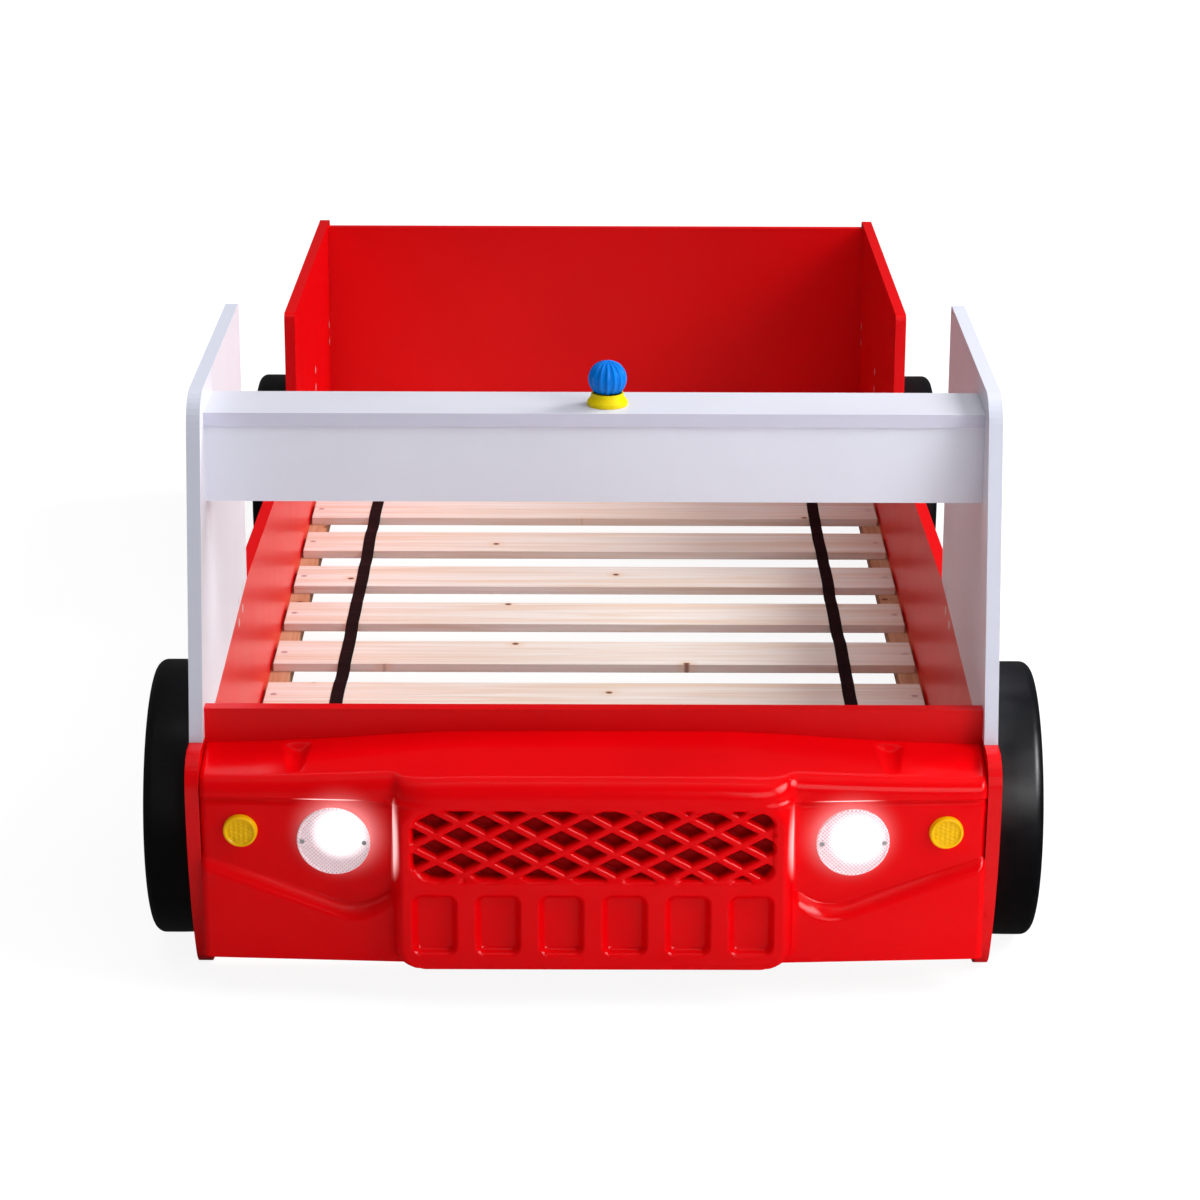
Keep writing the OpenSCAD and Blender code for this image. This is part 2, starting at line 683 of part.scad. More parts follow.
module lens(s) color("white", 0.5) place() side(s) at_lamp() difference() {
    rotate_extrude()
        polygon(rounded([[0, 0, 0], [lens_d / 2, 0, 0], [lens_d / 2, lens_rise, 2], [0, lens_rise, 0]]));
    translate([0, 0, -over]) cylinder(r = lens_d / 2 - lens_wall, h = lens_rise - lens_wall + over);
    for (x = [-1, 1]) translate([x * lens_screw_x, 0, 0])
        cylinder(r = lens_screw_r + hole_gap, h = lens_rise + over);
}

module lamp_bowl(s) color("whitesmoke") place() side(s) at_lamp() difference() {
    union() {
        difference() {
            translate([0, 0, -bowl_depth]) cylinder(d = bowl_d, h = bowl_depth + lens_rise - lens_wall);
            translate([0, 0, bowl_wall - bowl_depth])
                cylinder(d = bowl_d - 2 * bowl_wall, h = bowl_depth + lens_rise);
        }
        for (x = [-1, 1]) translate([x * (bowl_d / 2 - bowl_boss_r), 0, -bowl_depth + over])
            cylinder(r = bowl_boss_r, h = bowl_depth + lens_rise - lens_wall - over);
    }
    for (x = [-1, 1]) translate([x * lens_screw_x, 0, lens_rise - lens_wall - lens_screw_l])
        cylinder(r = lens_screw_r + hole_gap / 2, h = lens_screw_l + over);
}

led_board_r = 20;
led_board_t = 1.6;
led_r = 4.5;
led_h = 2;
led_side = 6;
led_up = 9;

module led_board(s) color("gold") place() side(s) at_lamp() translate([0, 0, bowl_wall - bowl_depth]) {
    cylinder(r = led_board_r, h = led_board_t);
    translate([led_side * s, led_up, 0]) {
        cylinder(r = led_r, h = led_board_t + led_h);
        translate([0, 0, led_board_t + led_h]) intersection() {
            sphere(r = led_r);
            translate([-led_r, -led_r, 0]) cube(2 * led_r);
        }
    }
}

module lens_screws() color("silver") place() for (s = [-1, 1], x = [-1, 1]) side(s) at_lamp()
    translate([x * lens_screw_x, 0, lens_rise + lens_head_h]) rotate([180, 0, 0])
        screw(lens_screw_l, lens_screw_r, lens_head_r, lens_head_h);

// A round button lens with a raised rim and a stud that passes through the nose
module indicator(s) color("gold") place() side(s) at_lamp(indicator_x, indicator_h) {
    rotate_extrude() polygon(rounded([
        [0, 0, 0], [indicator_d / 2, 0, 0], [indicator_d / 2, indicator_rise, 2.5],
        [indicator_d / 2 - indicator_rim, indicator_rise, 1],
        [indicator_d / 2 - indicator_rim - 1, indicator_rise - indicator_dish, 0.5],
        [0, indicator_rise - indicator_dish / 3, 0]]));
    translate([0, 0, -nose_wall - indicator_stud_l])
        cylinder(r = indicator_stud_r, h = nose_wall + indicator_stud_l + over);
}

// Outline of half a wheel's section, from its axis out, with the outer face at z = wheel_w
function wheel_outline(t) = rounded([
    [0, t > 0 ? -over : 0, 0], [wheel_r - t, t > 0 ? -over : 0, 0],
    [wheel_r - t, wheel_w - t, wheel_shoulder_r - t],
    [wheel_dish_r + t, wheel_w - t, dish_edge_r],
    [wheel_dish_r - dish_flare + t, wheel_w - wheel_dish - t, dish_edge_r],
    [hub_r + dish_flare - t, wheel_w - wheel_dish - t, dish_edge_r],
    [hub_r + dish_flare / 2 - t, hub_face - t, dish_edge_r / 2], [0, hub_face - t, 0]]);

module at_wheel(s, y) place() side(s) translate([half_out, y, wheel_r]) rotate([90, 0, 90]) children();

module wheel(s, y) color("black") at_wheel(s, y) difference() {
    union() {
        difference() {
            rotate_extrude($fn = 96) polygon(wheel_outline(0));
            rotate_extrude($fn = 96) polygon(wheel_outline(wheel_wall));
        }
        for (a = wheel_screw_angles) rotate([0, 0, a]) translate([wheel_screw_ring, 0, 0])
            cylinder(r = wheel_boss_r, h = hub_face - wheel_wall + over / 2);
        intersection() {
            for (i = [0:wheel_ribs - 1]) rotate([0, 0, 180 * i / wheel_ribs])
                translate([-wheel_r, -wheel_rib_t / 2, 0]) cube([2 * wheel_r, wheel_rib_t, wheel_w]);
            rotate_extrude($fn = 96) polygon(wheel_outline(wheel_wall / 2));
            difference() {
                translate([0, 0, over / 4]) cylinder(r = wheel_r, h = wheel_w);
                translate([0, 0, -over]) cylinder(r = 2 * hub_stud_r, h = wheel_w + 2 * over);
            }
        }
    }
    for (a = wheel_screw_angles) rotate([0, 0, a]) translate([wheel_screw_ring, 0, -over])
        cylinder(r = wood_screw_r + hole_gap, h = wheel_screw_in + 2 * over);
    translate([0, 0, hub_face - wheel_wall - over])
        cylinder(r = hub_stud_r + hole_gap, h = wheel_wall + 2 * over);
}

module hub_caps() color("dimgray") for (s = [-1, 1], y = wheel_ys) at_wheel(s, y) {
    translate([0, 0, hub_face]) rotate_extrude() polygon(rounded([[0, 0, 0], [hub_r, 0, 0],
        [hub_r, 0.8 * hub_cap_t, hub_cap_edge_r], [hub_r - hub_cap_flat_in, hub_cap_t, 0],
        [0, hub_cap_t, 0]]));
    translate([0, 0, hub_face - wheel_wall - hub_stud_l])
        cylinder(r = hub_stud_r, h = wheel_wall + hub_stud_l + over);
}

module wheel_screws() color("silver") place() for (s = [-1, 1], y = wheel_ys, a = wheel_screw_angles) side(s)
    along_x(half_in, [y + wheel_screw_ring * cos(a), wheel_r + wheel_screw_ring * sin(a)])
        screw(board_t + wheel_screw_in);

module ledger(s) color("burlywood") place() side(s) difference() {
    translate([half_in - ledger_w, front_board_t + ledger_end_gap, slat_low_h - ledger_h])
        cube([ledger_w, inner_l - 2 * ledger_end_gap, ledger_h]);
    for (y = ledger_screw_ys()) {
        bar_x(half_in - ledger_w - over, half_in + over, [y, ledger_mid_h()], wood_screw_r + hole_gap);
        bar_x(half_in - ledger_w - over, half_in - ledger_w + wood_head_h + hole_gap, [y, ledger_mid_h()],
            wood_head_r + hole_gap);
    }
    for (y = slat_ys) slat_screw_bore(y);
}

slat_screw_l = 28;
slat_screw_off = 1;
strap_end_in = 6;

function slat_screw_x() = half_in - ledger_w / 2 - slat_screw_off;

module slat_screw_bore(y) translate([slat_screw_x(), y, slat_top_h]) rotate([180, 0, 0]) {
    translate([0, 0, -over]) cylinder(r = wood_screw_r + hole_gap, h = slat_screw_l + over);
    translate([0, 0, -over]) cylinder(r = wood_head_r + hole_gap, h = wood_head_h + hole_gap + over);
}

module ledger_screws() color("silver") place() for (s = [-1, 1], y = ledger_screw_ys()) side(s)
    along_x(half_in - ledger_w, [y, ledger_mid_h()]) screw(ledger_w + screw_bite);

module slat(i) color("wheat") place() difference() {
    translate([slat_end_gap - half_in, slat_ys[i] - slat_w / 2, slat_low_h])
        cube([inner_w - 2 * slat_end_gap, slat_w, slat_t]);
    for (s = [-1, 1]) side(s) slat_screw_bore(slat_ys[i]);
}

module slat_screws() color("silver") place() for (s = [-1, 1], y = slat_ys) side(s)
    translate([slat_screw_x(), y, slat_top_h]) rotate([180, 0, 0]) screw(slat_screw_l);

module strap(s) color("#201818") place() side(s) difference() {
    translate([strap_x - strap_w / 2, slat_ys[0] - slat_w / 2 + strap_end_in, slat_top_h])
        cube([strap_w, slat_ys[slat_count - 1] - slat_ys[0] + slat_w - 2 * strap_end_in, strap_t]);
    for (y = slat_ys) staple_at(y, over);
}

// A staple's crown, pressed into the strap until it is level with it, and drawn taller by more
module staple_at(y, more)
    translate([strap_x - staple_w / 2, y - staple_d / 2, slat_top_h + strap_t - staple_h])
        cube([staple_w, staple_d, staple_h + more]);

module strap_staples() color("silver") place() for (s = [-1, 1], y = slat_ys) side(s) staple_at(y, 0);

// Where each corner bolt lies, [y, height]
function corner_bolts_at() = concat(
    [for (h = corner_bolt_front_hs) [front_board_t / 2, h]],
    [for (h = corner_bolt_head_hs) [head_y + board_t / 2, h]]);

module corner_bolts() color("silver") place() for (s = [-1, 1], p = corner_bolts_at()) side(s) {
    bar_x(half_in - bolt_reach, half_out + bolt_head_h, p, bolt_r);
    bar_x(half_out, half_out + bolt_head_h, p, bolt_head_r);
}

module barrel_nuts() color("silver") place() for (s = [-1, 1], p = corner_bolts_at()) side(s) difference() {
    translate([half_in - barrel_in, p[0] - barrel_l / 2, p[1]]) rotate([-90, 0, 0])
        cylinder(r = barrel_r, h = barrel_l);
    bar_x(half_in - barrel_in - barrel_r - over, half_in, p, bolt_r + hole_gap / 2);
}

// Round cams, one above and one below the joint, drawn together by a pin between them
module panel_cams() color("gainsboro") place() for (s = [-1, 1], y = concat(cab_cam_ys, rear_cam_ys)) side(s)
    for (up = [0, 1]) {
        h = panel_top(y) + (up ? cam_rise : -cam_drop);
        difference() {
            bar_x(half_in, half_in + cam_l, [y, h], cam_r);
            translate([half_in + board_t / 2, y, h - (up ? cam_r + over : 2)])
                cylinder(r = pin_r + hole_gap, h = cam_r + 2 + over);
            for (a = [0, 90]) along_x(half_in - over, [y, h]) rotate([0, 0, a])
                translate([-cam_slot_l / 2, -cam_slot_w / 2, 0]) cube([cam_slot_l, cam_slot_w, 2 + over]);
        }
    }

module panel_pins() color("silver") place() for (s = [-1, 1], y = concat(cab_cam_ys, rear_cam_ys)) side(s)
    translate([half_in + board_t / 2, y, panel_top(y) - cam_drop + 1])
        cylinder(r = pin_r, h = cam_rise + cam_drop - 2);

module roof_screws() color("silver") place() for (s = [-1, 1], p = roof_screw_pts) side(s)
    along_x(half_out, p) mirror([0, 0, 1]) screw(roof_screw_l);

module nose_screws() color("silver") place() for (s = [-1, 1], p = nose_screw_pts) side(s)
    along_x(half_in - nose_wall - wood_head_h, p) screw(nose_wall + wood_head_h + screw_bite);

// Battery box on the rear of the front board: a cell bay on its left and the switch on its right
box_wall = 2;
box_ear = 12;
box_ear_t = 3;
bay_play = 1.5;
cell_step = 0.5;
bay_l = cell_l + bay_play;
bay_d = cell_d + bay_play;
bay_h = 3 * cell_d + bay_play + cell_step;
rocker_w = 12;
rocker_h = 18;
rocker_half_t = 3;
pocket_play = 2.4;
pocket_w = rocker_w + 2 * slide_gap;
pocket_h = rocker_h + pocket_play;
pocket_d = 9;
box_w = bay_l + pocket_w + 3 * box_wall;
box_d = bay_d + box_wall;
box_h = bay_h + 2 * box_wall;
box_mid_h = box_low_h + box_h / 2;
box_left_x = box_x - box_w / 2;
bay_x = box_left_x + box_wall;
pocket_x = bay_x + bay_l + box_wall;
rail_t = 2;
rail_lip = 3;
grip_pitch = 3;
grip_w = 1.2;
grip_h = 16;
grip_in = 6;
terminal_d = 5.5;
terminal_l = 1.5;
key_flare = 2.5;
key_dish = 1.2;
cover_t = 2;
rocker_y = box_d + 0.5;
trunnion_r = 1.5;
trunnion_l = 1.5;

function box_screw_xs() = [box_left_x - box_ear / 2, box_left_x + box_w + box_ear / 2];

module at_box() place() translate([0, front_board_t, box_mid_h]) children();

module battery_box() color("dimgray") at_box() difference() {
    union() {
        translate([box_left_x, 0, -box_h / 2]) cube([box_w, box_d, box_h]);
        translate([box_left_x - box_ear, 0, -box_ear / 2]) cube([box_w + 2 * box_ear, box_ear_t, box_ear]);
        for (up = [0, 1]) mirror([0, 0, up]) translate([box_left_x, box_d - over, bay_h / 2 + slide_gap]) {
            rail_l = bay_l + 2 * box_wall;
            cube([rail_l, over + cover_t + 2 * slide_gap + rail_t, box_wall - slide_gap]);
            translate([0, over + cover_t + 2 * slide_gap, -rail_lip])
                cube([rail_l, rail_t, rail_lip + box_wall - slide_gap]);
        }
        translate([bay_x + bay_l + slide_gap, box_d - over, -bay_h / 2])
            cube([box_wall - slide_gap, over + cover_t + 2 * slide_gap, bay_h]);
    }
    translate([bay_x, box_wall, -bay_h / 2]) cube([bay_l, bay_d + over, bay_h]);
    translate([pocket_x, box_d - pocket_d, -pocket_h / 2]) cube([pocket_w, pocket_d + over, pocket_h]);
    translate([pocket_x - trunnion_l, rocker_y - rocker_half_t, 0]) rotate([0, 90, 0])
        cylinder(r = trunnion_r + pivot_gap, h = pocket_w + 2 * trunnion_l);
    for (x = box_screw_xs()) translate([x, -over, 0]) rotate([-90, 0, 0])
        cylinder(r = box_screw_r + hole_gap, h = box_ear_t + 2 * over);
}

module battery_cover() color("gray") at_box() {
    translate([box_left_x, box_d + slide_gap, -bay_h / 2]) cube([bay_l + box_wall, cover_t, bay_h]);
    for (i = [0:3])
        translate([box_left_x + grip_in + grip_pitch * i, box_d + slide_gap + cover_t / 2, -grip_h / 2])
            cube([grip_w, 0.9 * cover_t, grip_h]);
}

module battery_cells() color("steelblue") at_box() for (i = [-1:1])
    translate([bay_x + bay_play / 3, box_wall + cell_d / 2 + bay_play / 5, i * (cell_d + cell_step)])
        rotate([0, 90, 0]) {
            cylinder(d = cell_d, h = cell_l - terminal_l / 2);
            translate([0, 0, terminal_l]) cylinder(d = terminal_d, h = cell_l - terminal_l);
        }

// The switch's key, tipped half its throw to its "on" side
module rocker_switch() color("black") at_box()
    translate([pocket_x + slide_gap, rocker_y - rocker_half_t, 0]) rotate([rocker_throw / 2, 0, 0]) {
        rotate([90, 0, 90]) linear_extrude(rocker_w) polygon([
            [-rocker_half_t, key_flare - rocker_h / 2], [rocker_half_t + key_dish, -rocker_h / 2],
            [rocker_half_t, 0], [rocker_half_t + key_dish, rocker_h / 2],
            [-rocker_half_t, rocker_h / 2 - key_flare]]);
        translate([-trunnion_l, 0, 0]) rotate([0, 90, 0])
            cylinder(r = trunnion_r, h = rocker_w + 2 * trunnion_l);
    }

module box_screws() color("silver") at_box() for (x = box_screw_xs())
    translate([x, box_ear_t + box_head_h, 0]) rotate([90, 0, 0])
        screw(box_screw_l, box_screw_r, box_head_r, box_head_h);

side_panel(-1);  // side_panel_left
side_panel(1);  // side_panel_right
cab_side(-1);  // cab_side_left
cab_side(1);  // cab_side_right
rear_side(-1);  // rear_side_left
rear_side(1);  // rear_side_right
front_board();
headboard();
roof_shelf();
roof_face_board();
beacon_base();
beacon_globe();
beacon_screw();
nose_shell();
lens(-1);  // lens_left
lens(1);  // lens_right
lamp_bowl(-1);  // lamp_bowl_left
lamp_bowl(1);  // lamp_bowl_right
led_board(-1);  // led_board_left
led_board(1);  // led_board_right
lens_screws();
indicator(-1);  // indicator_left
indicator(1);  // indicator_right
wheel(-1, wheel_ys[0]);  // wheel_front_left
wheel(1, wheel_ys[0]);  // wheel_front_right
wheel(-1, wheel_ys[1]);  // wheel_rear_left
wheel(1, wheel_ys[1]);  // wheel_rear_right
hub_caps();
wheel_screws();
ledger(-1);  // ledger_left
ledger(1);  // ledger_right
ledger_screws();
slat(0);  // slat_01
slat(1);  // slat_02
slat(2);  // slat_03
slat(3);  // slat_04
slat(4);  // slat_05
slat(5);  // slat_06
slat(6);  // slat_07
slat(7);  // slat_08
slat(8);  // slat_09
slat(9);  // slat_10
slat(10);  // slat_11
slat_screws();
strap(-1);  // strap_left
strap(1);  // strap_right
strap_staples();
corner_bolts();
barrel_nuts();
panel_cams();
panel_pins();
roof_screws();
nose_screws();
battery_box();
battery_cover();
battery_cells();
rocker_switch();
box_screws();
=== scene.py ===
"""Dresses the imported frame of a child's bed in the shape of a truck.

The bed's classes count in millimetres. There Y = 0 is the front face of the front board,
as in the part's source, and `place` moves a mesh into the frame. The finishes and the
studio count in metres, along the frame's own axes.
"""

import logging
import math
from dataclasses import dataclass, field
from enum import Enum
from functools import reduce
from typing import Callable, Sequence

import bpy
import numpy as np
from bpy.types import Material, Node, NodeOutputs, NodeSocket, Object
from mathutils import Matrix, Vector


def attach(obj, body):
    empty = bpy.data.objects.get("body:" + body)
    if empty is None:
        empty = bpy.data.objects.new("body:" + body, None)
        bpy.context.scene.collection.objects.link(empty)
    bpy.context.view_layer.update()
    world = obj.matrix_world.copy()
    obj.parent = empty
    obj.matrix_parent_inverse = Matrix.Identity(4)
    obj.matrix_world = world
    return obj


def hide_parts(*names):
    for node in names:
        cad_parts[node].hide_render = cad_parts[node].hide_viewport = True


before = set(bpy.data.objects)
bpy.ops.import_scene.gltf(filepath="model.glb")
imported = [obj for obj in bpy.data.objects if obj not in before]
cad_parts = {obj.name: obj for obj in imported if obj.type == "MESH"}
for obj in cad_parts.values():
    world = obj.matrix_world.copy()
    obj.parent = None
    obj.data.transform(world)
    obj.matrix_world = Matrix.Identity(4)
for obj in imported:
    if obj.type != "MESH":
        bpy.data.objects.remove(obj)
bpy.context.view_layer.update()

LOG = logging.getLogger("bed")
FRONT_Y = -976.0
Array = np.ndarray
Triple = tuple[float, float, float]
Colour = Triple
Pair = tuple[float, float]


class Side(Enum):
    """The two sides of the bed, seen from its nose."""

    LEFT = -1
    RIGHT = 1

    @property
    def word(self) -> str:
        """The side's name as the nodes spell it."""
        return self.name.lower()


class Coords(Enum):
    """Where a pattern takes its coordinates from."""

    OBJECT = "Object"
    NORMAL = "Normal"


def srgb(red: float, green: float, blue: float) -> Colour:
    """Turns display values from 0 to 255 into a linear colour."""
    values = (value / 255 for value in (red, green, blue))
    return tuple(c / 12.92 if c <= 0.04045 else ((c + 0.055) / 1.055) ** 2.4 for c in values)


def dimmed(colour: Colour, share: float) -> Colour:
    """A colour times a share, at most white."""
    return tuple(min(1.0, c * share) for c in colour)


def smooth(t: Array) -> Array:
    """Eases t from 0 to 1 with level ends."""
    t = np.clip(t, 0, 1)
    return t * t * (3 - 2 * t)


def quarter(t: Array) -> Array:
    """Falls from 1 to 0 along a quarter circle as t goes from 0 to 1."""
    return np.sqrt(np.clip(1 - np.clip(t, 0, 1) ** 2, 0, 1))


def rounded_box(x: Array, z: Array, half: Pair, radius: float) -> Array:
    """Distance to the outline of a rectangle with rounded corners round the origin.

    Args:
        x: Places across it.
        z: Places up it.
        half: Half its width and height.
        radius: Its corners' radius.

    Returns:
        The distance to the outline, positive inside.
    """
    qx = np.abs(x) - half[0] + radius
    qz = np.abs(z) - half[1] + radius
    outside = np.hypot(np.maximum(qx, 0), np.maximum(qz, 0))
    return radius - outside - np.minimum(np.maximum(qx, qz), 0)


def place(points: Array) -> Array:
    """Moves points in millimetres from the front board's axes into the frame, in metres."""
    return (np.array(points, float).reshape(-1, 3) + (0.0, FRONT_Y, 0.0)) / 1000


def grid_faces(rows: int, columns: int, closed: bool = False) -> Array:
    """Quads between the points of a grid.

    Args:
        rows: The number of rows.
        columns: The number of columns.
        closed: True if the last column joins the first.

    Returns:
        The point numbers of each quad.
    """
    last = columns if closed else columns - 1
    i, j = np.meshgrid(np.arange(rows - 1) * columns, np.arange(last), indexing="ij")
    k = (j + 1) % columns
    return np.stack([i + j, i + k, i + columns + k, i + columns + j], -1).reshape(-1, 4)


def lathe(profile: Sequence[Pair], segments: int) -> tuple[Array, Array]:
    """Turns a profile of radius and height about +Z; gives its points and faces."""
    turn = np.linspace(0, 2 * math.pi, segments, endpoint=False)
    return np.concatenate([
        np.stack([r * np.cos(turn), r * np.sin(turn), np.full(segments, z)], 1)
        for r, z in profile]), grid_faces(len(profile), segments, closed=True)


def fillet(corners: Sequence[Triple], steps: int = 6) -> list[Pair]:
    """Rounds the corners of an open line.

    Args:
        corners: Two coordinates and a radius for each corner.
        steps: The number of steps in each rounded corner.

    Returns:
        The line's points.
    """
    out = [corners[0][:2]]
    for before, at, after in zip(corners, corners[1:], corners[2:]):
        p, a, b = (np.array(c[:2], float) for c in (at, before, after))
        u, v = (a - p) / np.linalg.norm(a - p), (b - p) / np.linalg.norm(b - p)
        half = math.acos(float(np.clip(u @ v, -1, 1))) / 2
        reach = at[2] / math.tan(half)
        start, end = p + u * reach, p + v * reach
        centre = p + (u + v) / np.linalg.norm(u + v) * at[2] / math.sin(half)
        for i in range(steps + 1):
            way = (start - centre) * (1 - i / steps) + (end - centre) * i / steps
            out.append(tuple(centre + way / np.linalg.norm(way) * at[2]))
    out.append(corners[-1][:2])
    return out


def patterned_disc(half: float, reach: float, count: int,
                   height: Callable[[Array, Array], Array],
                   rim: Sequence[Pair], segments: int) -> tuple[Array, Array]:
    """Makes a disc with a pattern of heights inside a turned rim.

    Args:
        half: Half the width of the grid that the disc is cut from.
        reach: The disc's radius.
        count: The grid's points along each side.
        height: Gives the height at places across and up.
        rim: The rim's profile, as radius and height of each point.
        segments: The number of steps round the rim.

    Returns:
        The points and the faces.
    """
    line = np.linspace(-half, half, count)
    x, y = np.meshgrid(line, line)
    points = np.stack([x.ravel(), y.ravel(), height(x, y).ravel()], 1)
    faces = grid_faces(count, count)
    faces = faces[np.hypot(points[:, 0], points[:, 1])[faces].max(1) < reach]
    ring, ring_faces = lathe(rim, segments)
    return np.concatenate([points, ring]), np.concatenate([faces, ring_faces + len(points)])


def make_mesh(name: str, points: Array, faces: Sequence[Sequence[int]],
              material: Material) -> Object:
    """Makes a smooth mesh object from points in the frame.

    Args:
        name: The object's name.
        points: Its points in metres.
        faces: Its faces.
        material: Its material.

    Returns:
        The new object.
    """
    mesh = bpy.data.meshes.new(name)
    mesh.from_pydata(np.asarray(points, float).tolist(), [], [tuple(f) for f in faces])
    mesh.validate()
    mesh.polygons.foreach_set("use_smooth", [True] * len(mesh.polygons))
    mesh.materials.append(material)
    mesh.update()
    obj = bpy.data.objects.new(name, mesh)
    bpy.context.scene.collection.objects.link(obj)
    return obj


def mount(obj: Object, slot: str, *nodes: str, body: str = "bed") -> None:
    """Makes a piece ride on its body and stand for its nodes.

    Args:
        obj: The piece.
        slot: The record's material slot; not used.
        nodes: The nodes that it stands for.
        body: The body it rides on.
    """
    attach(obj, body)
    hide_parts(*nodes)
    LOG.info("%s stands for %s", obj.name, ", ".join(nodes))


class Recipe:
    """The nodes of a material or a world, laid out from its shader."""

    def __init__(self, name: str, kind: str = "materials",
                 shader: str = "Principled BSDF") -> None:
        """Starts with the shader alone.

        Args:
            name: The material's or world's name.
            kind: The collection that it goes into.
            shader: The name of its shader node.
        """
        self.owner = getattr(bpy.data, kind).new(name)
        self.owner.use_nodes = True
        self.tree = self.owner.node_tree
        self.shader = self.tree.nodes[shader]

    def node(self, kind: str, **settings: object) -> Node:
        """Adds a node.

        Args:
            kind: The node's type without its "ShaderNode" start.
            settings: Its properties.

        Returns:
            The node.
        """
        made = self.tree.nodes.new("ShaderNode" + kind)
        for key, value in settings.items():
            setattr(made, key, value)
        return made

    def fill(self, target: Node, *places: object, **names: object) -> NodeOutputs:
        """Feeds a node's sockets with numbers, colours or other sockets.

        Args:
            target: The node.
            places: What its first sockets take, where None leaves one as it is.
            names: What others take by name, where an underscore stands for a space.

        Returns:
            The node's outputs.
        """
        for key, source in (*enumerate(places), *names.items()):
            socket = target.inputs[key if isinstance(key, int) else key.replace("_", " ")]
            if isinstance(source, NodeSocket):
                self.tree.links.new(source, socket)
            elif source is not None:
                socket.default_value = (*source, 1.0) if socket.type == "RGBA" else source
        return target.outputs

    def set(self, **values: object) -> None:
        """Feeds the shader's own sockets."""
        self.fill(self.shader, **values)

    def where(self, kind: Coords = Coords.OBJECT,
              scale: Triple = (1.0, 1.0, 1.0)) -> NodeSocket:
        """Coordinates of a pattern, stretched by a scale along each axis."""
        start = self.node("TexCoord").outputs[kind.value]
        return self.fill(self.node("Mapping"), Vector=start, Scale=scale)["Vector"]

    def noise(self, vector: NodeSocket, scale: float, detail: float = 3.0, rough: float = 0.5,
              bend: float = 0.0) -> NodeSocket:
        """A cloudy pattern from 0 to 1, with finer layers of a strength and some distortion."""
        return self.fill(self.node("TexNoise"), Vector=vector, Scale=scale, Detail=detail,
                         Roughness=rough, Distortion=bend)["Fac"]

    def span(self, value: object, low: float, high: float, to_low: object = 0.0,
             to_high: object = 1.0, soft: bool = False) -> NodeSocket:
        """Maps the range from low to high onto another, with eased ends if soft."""
        made = self.node("MapRange", interpolation_type="SMOOTHSTEP" if soft else "LINEAR")
        return self.fill(made, value, low, high, to_low, to_high)["Result"]

    def sum(self, operation: str, first: object, second: object = None) -> NodeSocket:
        """The result of a piece of arithmetic, under the name that the math node gives it."""
        return self.fill(self.node("Math", operation=operation), first, second)[0]

    def fold(self, operation: str, values: Sequence[object]) -> NodeSocket:
        """Joins values one after the other by the same arithmetic."""
        return reduce(lambda first, second: self.sum(operation, first, second), values)

    def apart(self, first: object, second: object) -> NodeSocket:
        """How far apart two values are."""
        return self.sum("ABSOLUTE", self.sum("SUBTRACT", first, second))

    def away(self, point: Triple) -> NodeSocket:
        """How far each place is from a point."""
        made = self.node("VectorMath", operation="DISTANCE")
        return self.fill(made, self.where(), point)["Value"]

    def mix(self, share: object, first: object, second: object) -> NodeSocket:
        """Blends two colours by the second one's share."""
        made = self.node("Mix", data_type="RGBA")
        return self.fill(made, share, *[None] * 5, first, second)[2]

    def axes(self, vector: NodeSocket) -> NodeOutputs:
        """The three numbers of a vector."""
        return self.fill(self.node("SeparateXYZ"), vector)

    def relief(self, height: object, strength: float, depth: float, arris: float = 0.0) -> None:
        """Bumps the surface, over edges that are softened by the radius arris if it is given."""
        edge = self.fill(self.node("Bevel", samples=6), Radius=arris)[0] if arris else None
        self.set(Normal=self.fill(self.node("Bump"), Strength=strength, Distance=depth,
                                  Height=height, Normal=edge)[0])


@dataclass(frozen=True)
class Finish:
    """A named finish, whose kinds lay out their own nodes."""

    name: str

    def lay(self, r: Recipe) -> None:
        """Lays out the finish."""
        raise NotImplementedError

    def material(self) -> Material:
        """Makes the finish.

        Returns:
            The material.
        """
        r = Recipe(self.name)
        self.lay(r)
        return r.owner


@dataclass(frozen=True)
class Lacquer(Finish):
    """Satin lacquer on board, with its own tint on the board's narrow edges."""

    face: Colour
    edge: Colour
    thin_axis: int
    rough: float = 0.3
    turned: Pair = (0.55, 0.75)

    def lay(self, r: Recipe) -> None:
        """Lays out the finish.

        Args:
            r: The recipe that it goes into.
        """
        at = r.where()
        cloud = r.span(r.noise(at, 7.0, 4.0), 0.3, 0.7)
        soft = r.mix(cloud, self.face, dimmed(self.face, 0.95))
        normal = r.axes(r.where(Coords.NORMAL))[self.thin_axis]
        on_face = r.span(r.sum("ABSOLUTE", normal), *self.turned, soft=True)
        haze = r.noise(at, 11.0, 1.0)
        r.set(Base_Color=r.mix(on_face, self.edge, soft), Specular_IOR_Level=0.22,
              Roughness=r.span(haze, 0.2, 0.8, self.rough - 0.01, self.rough + 0.02))
        r.relief(r.noise(at, 900.0, 2.0), 0.06, 0.0002)


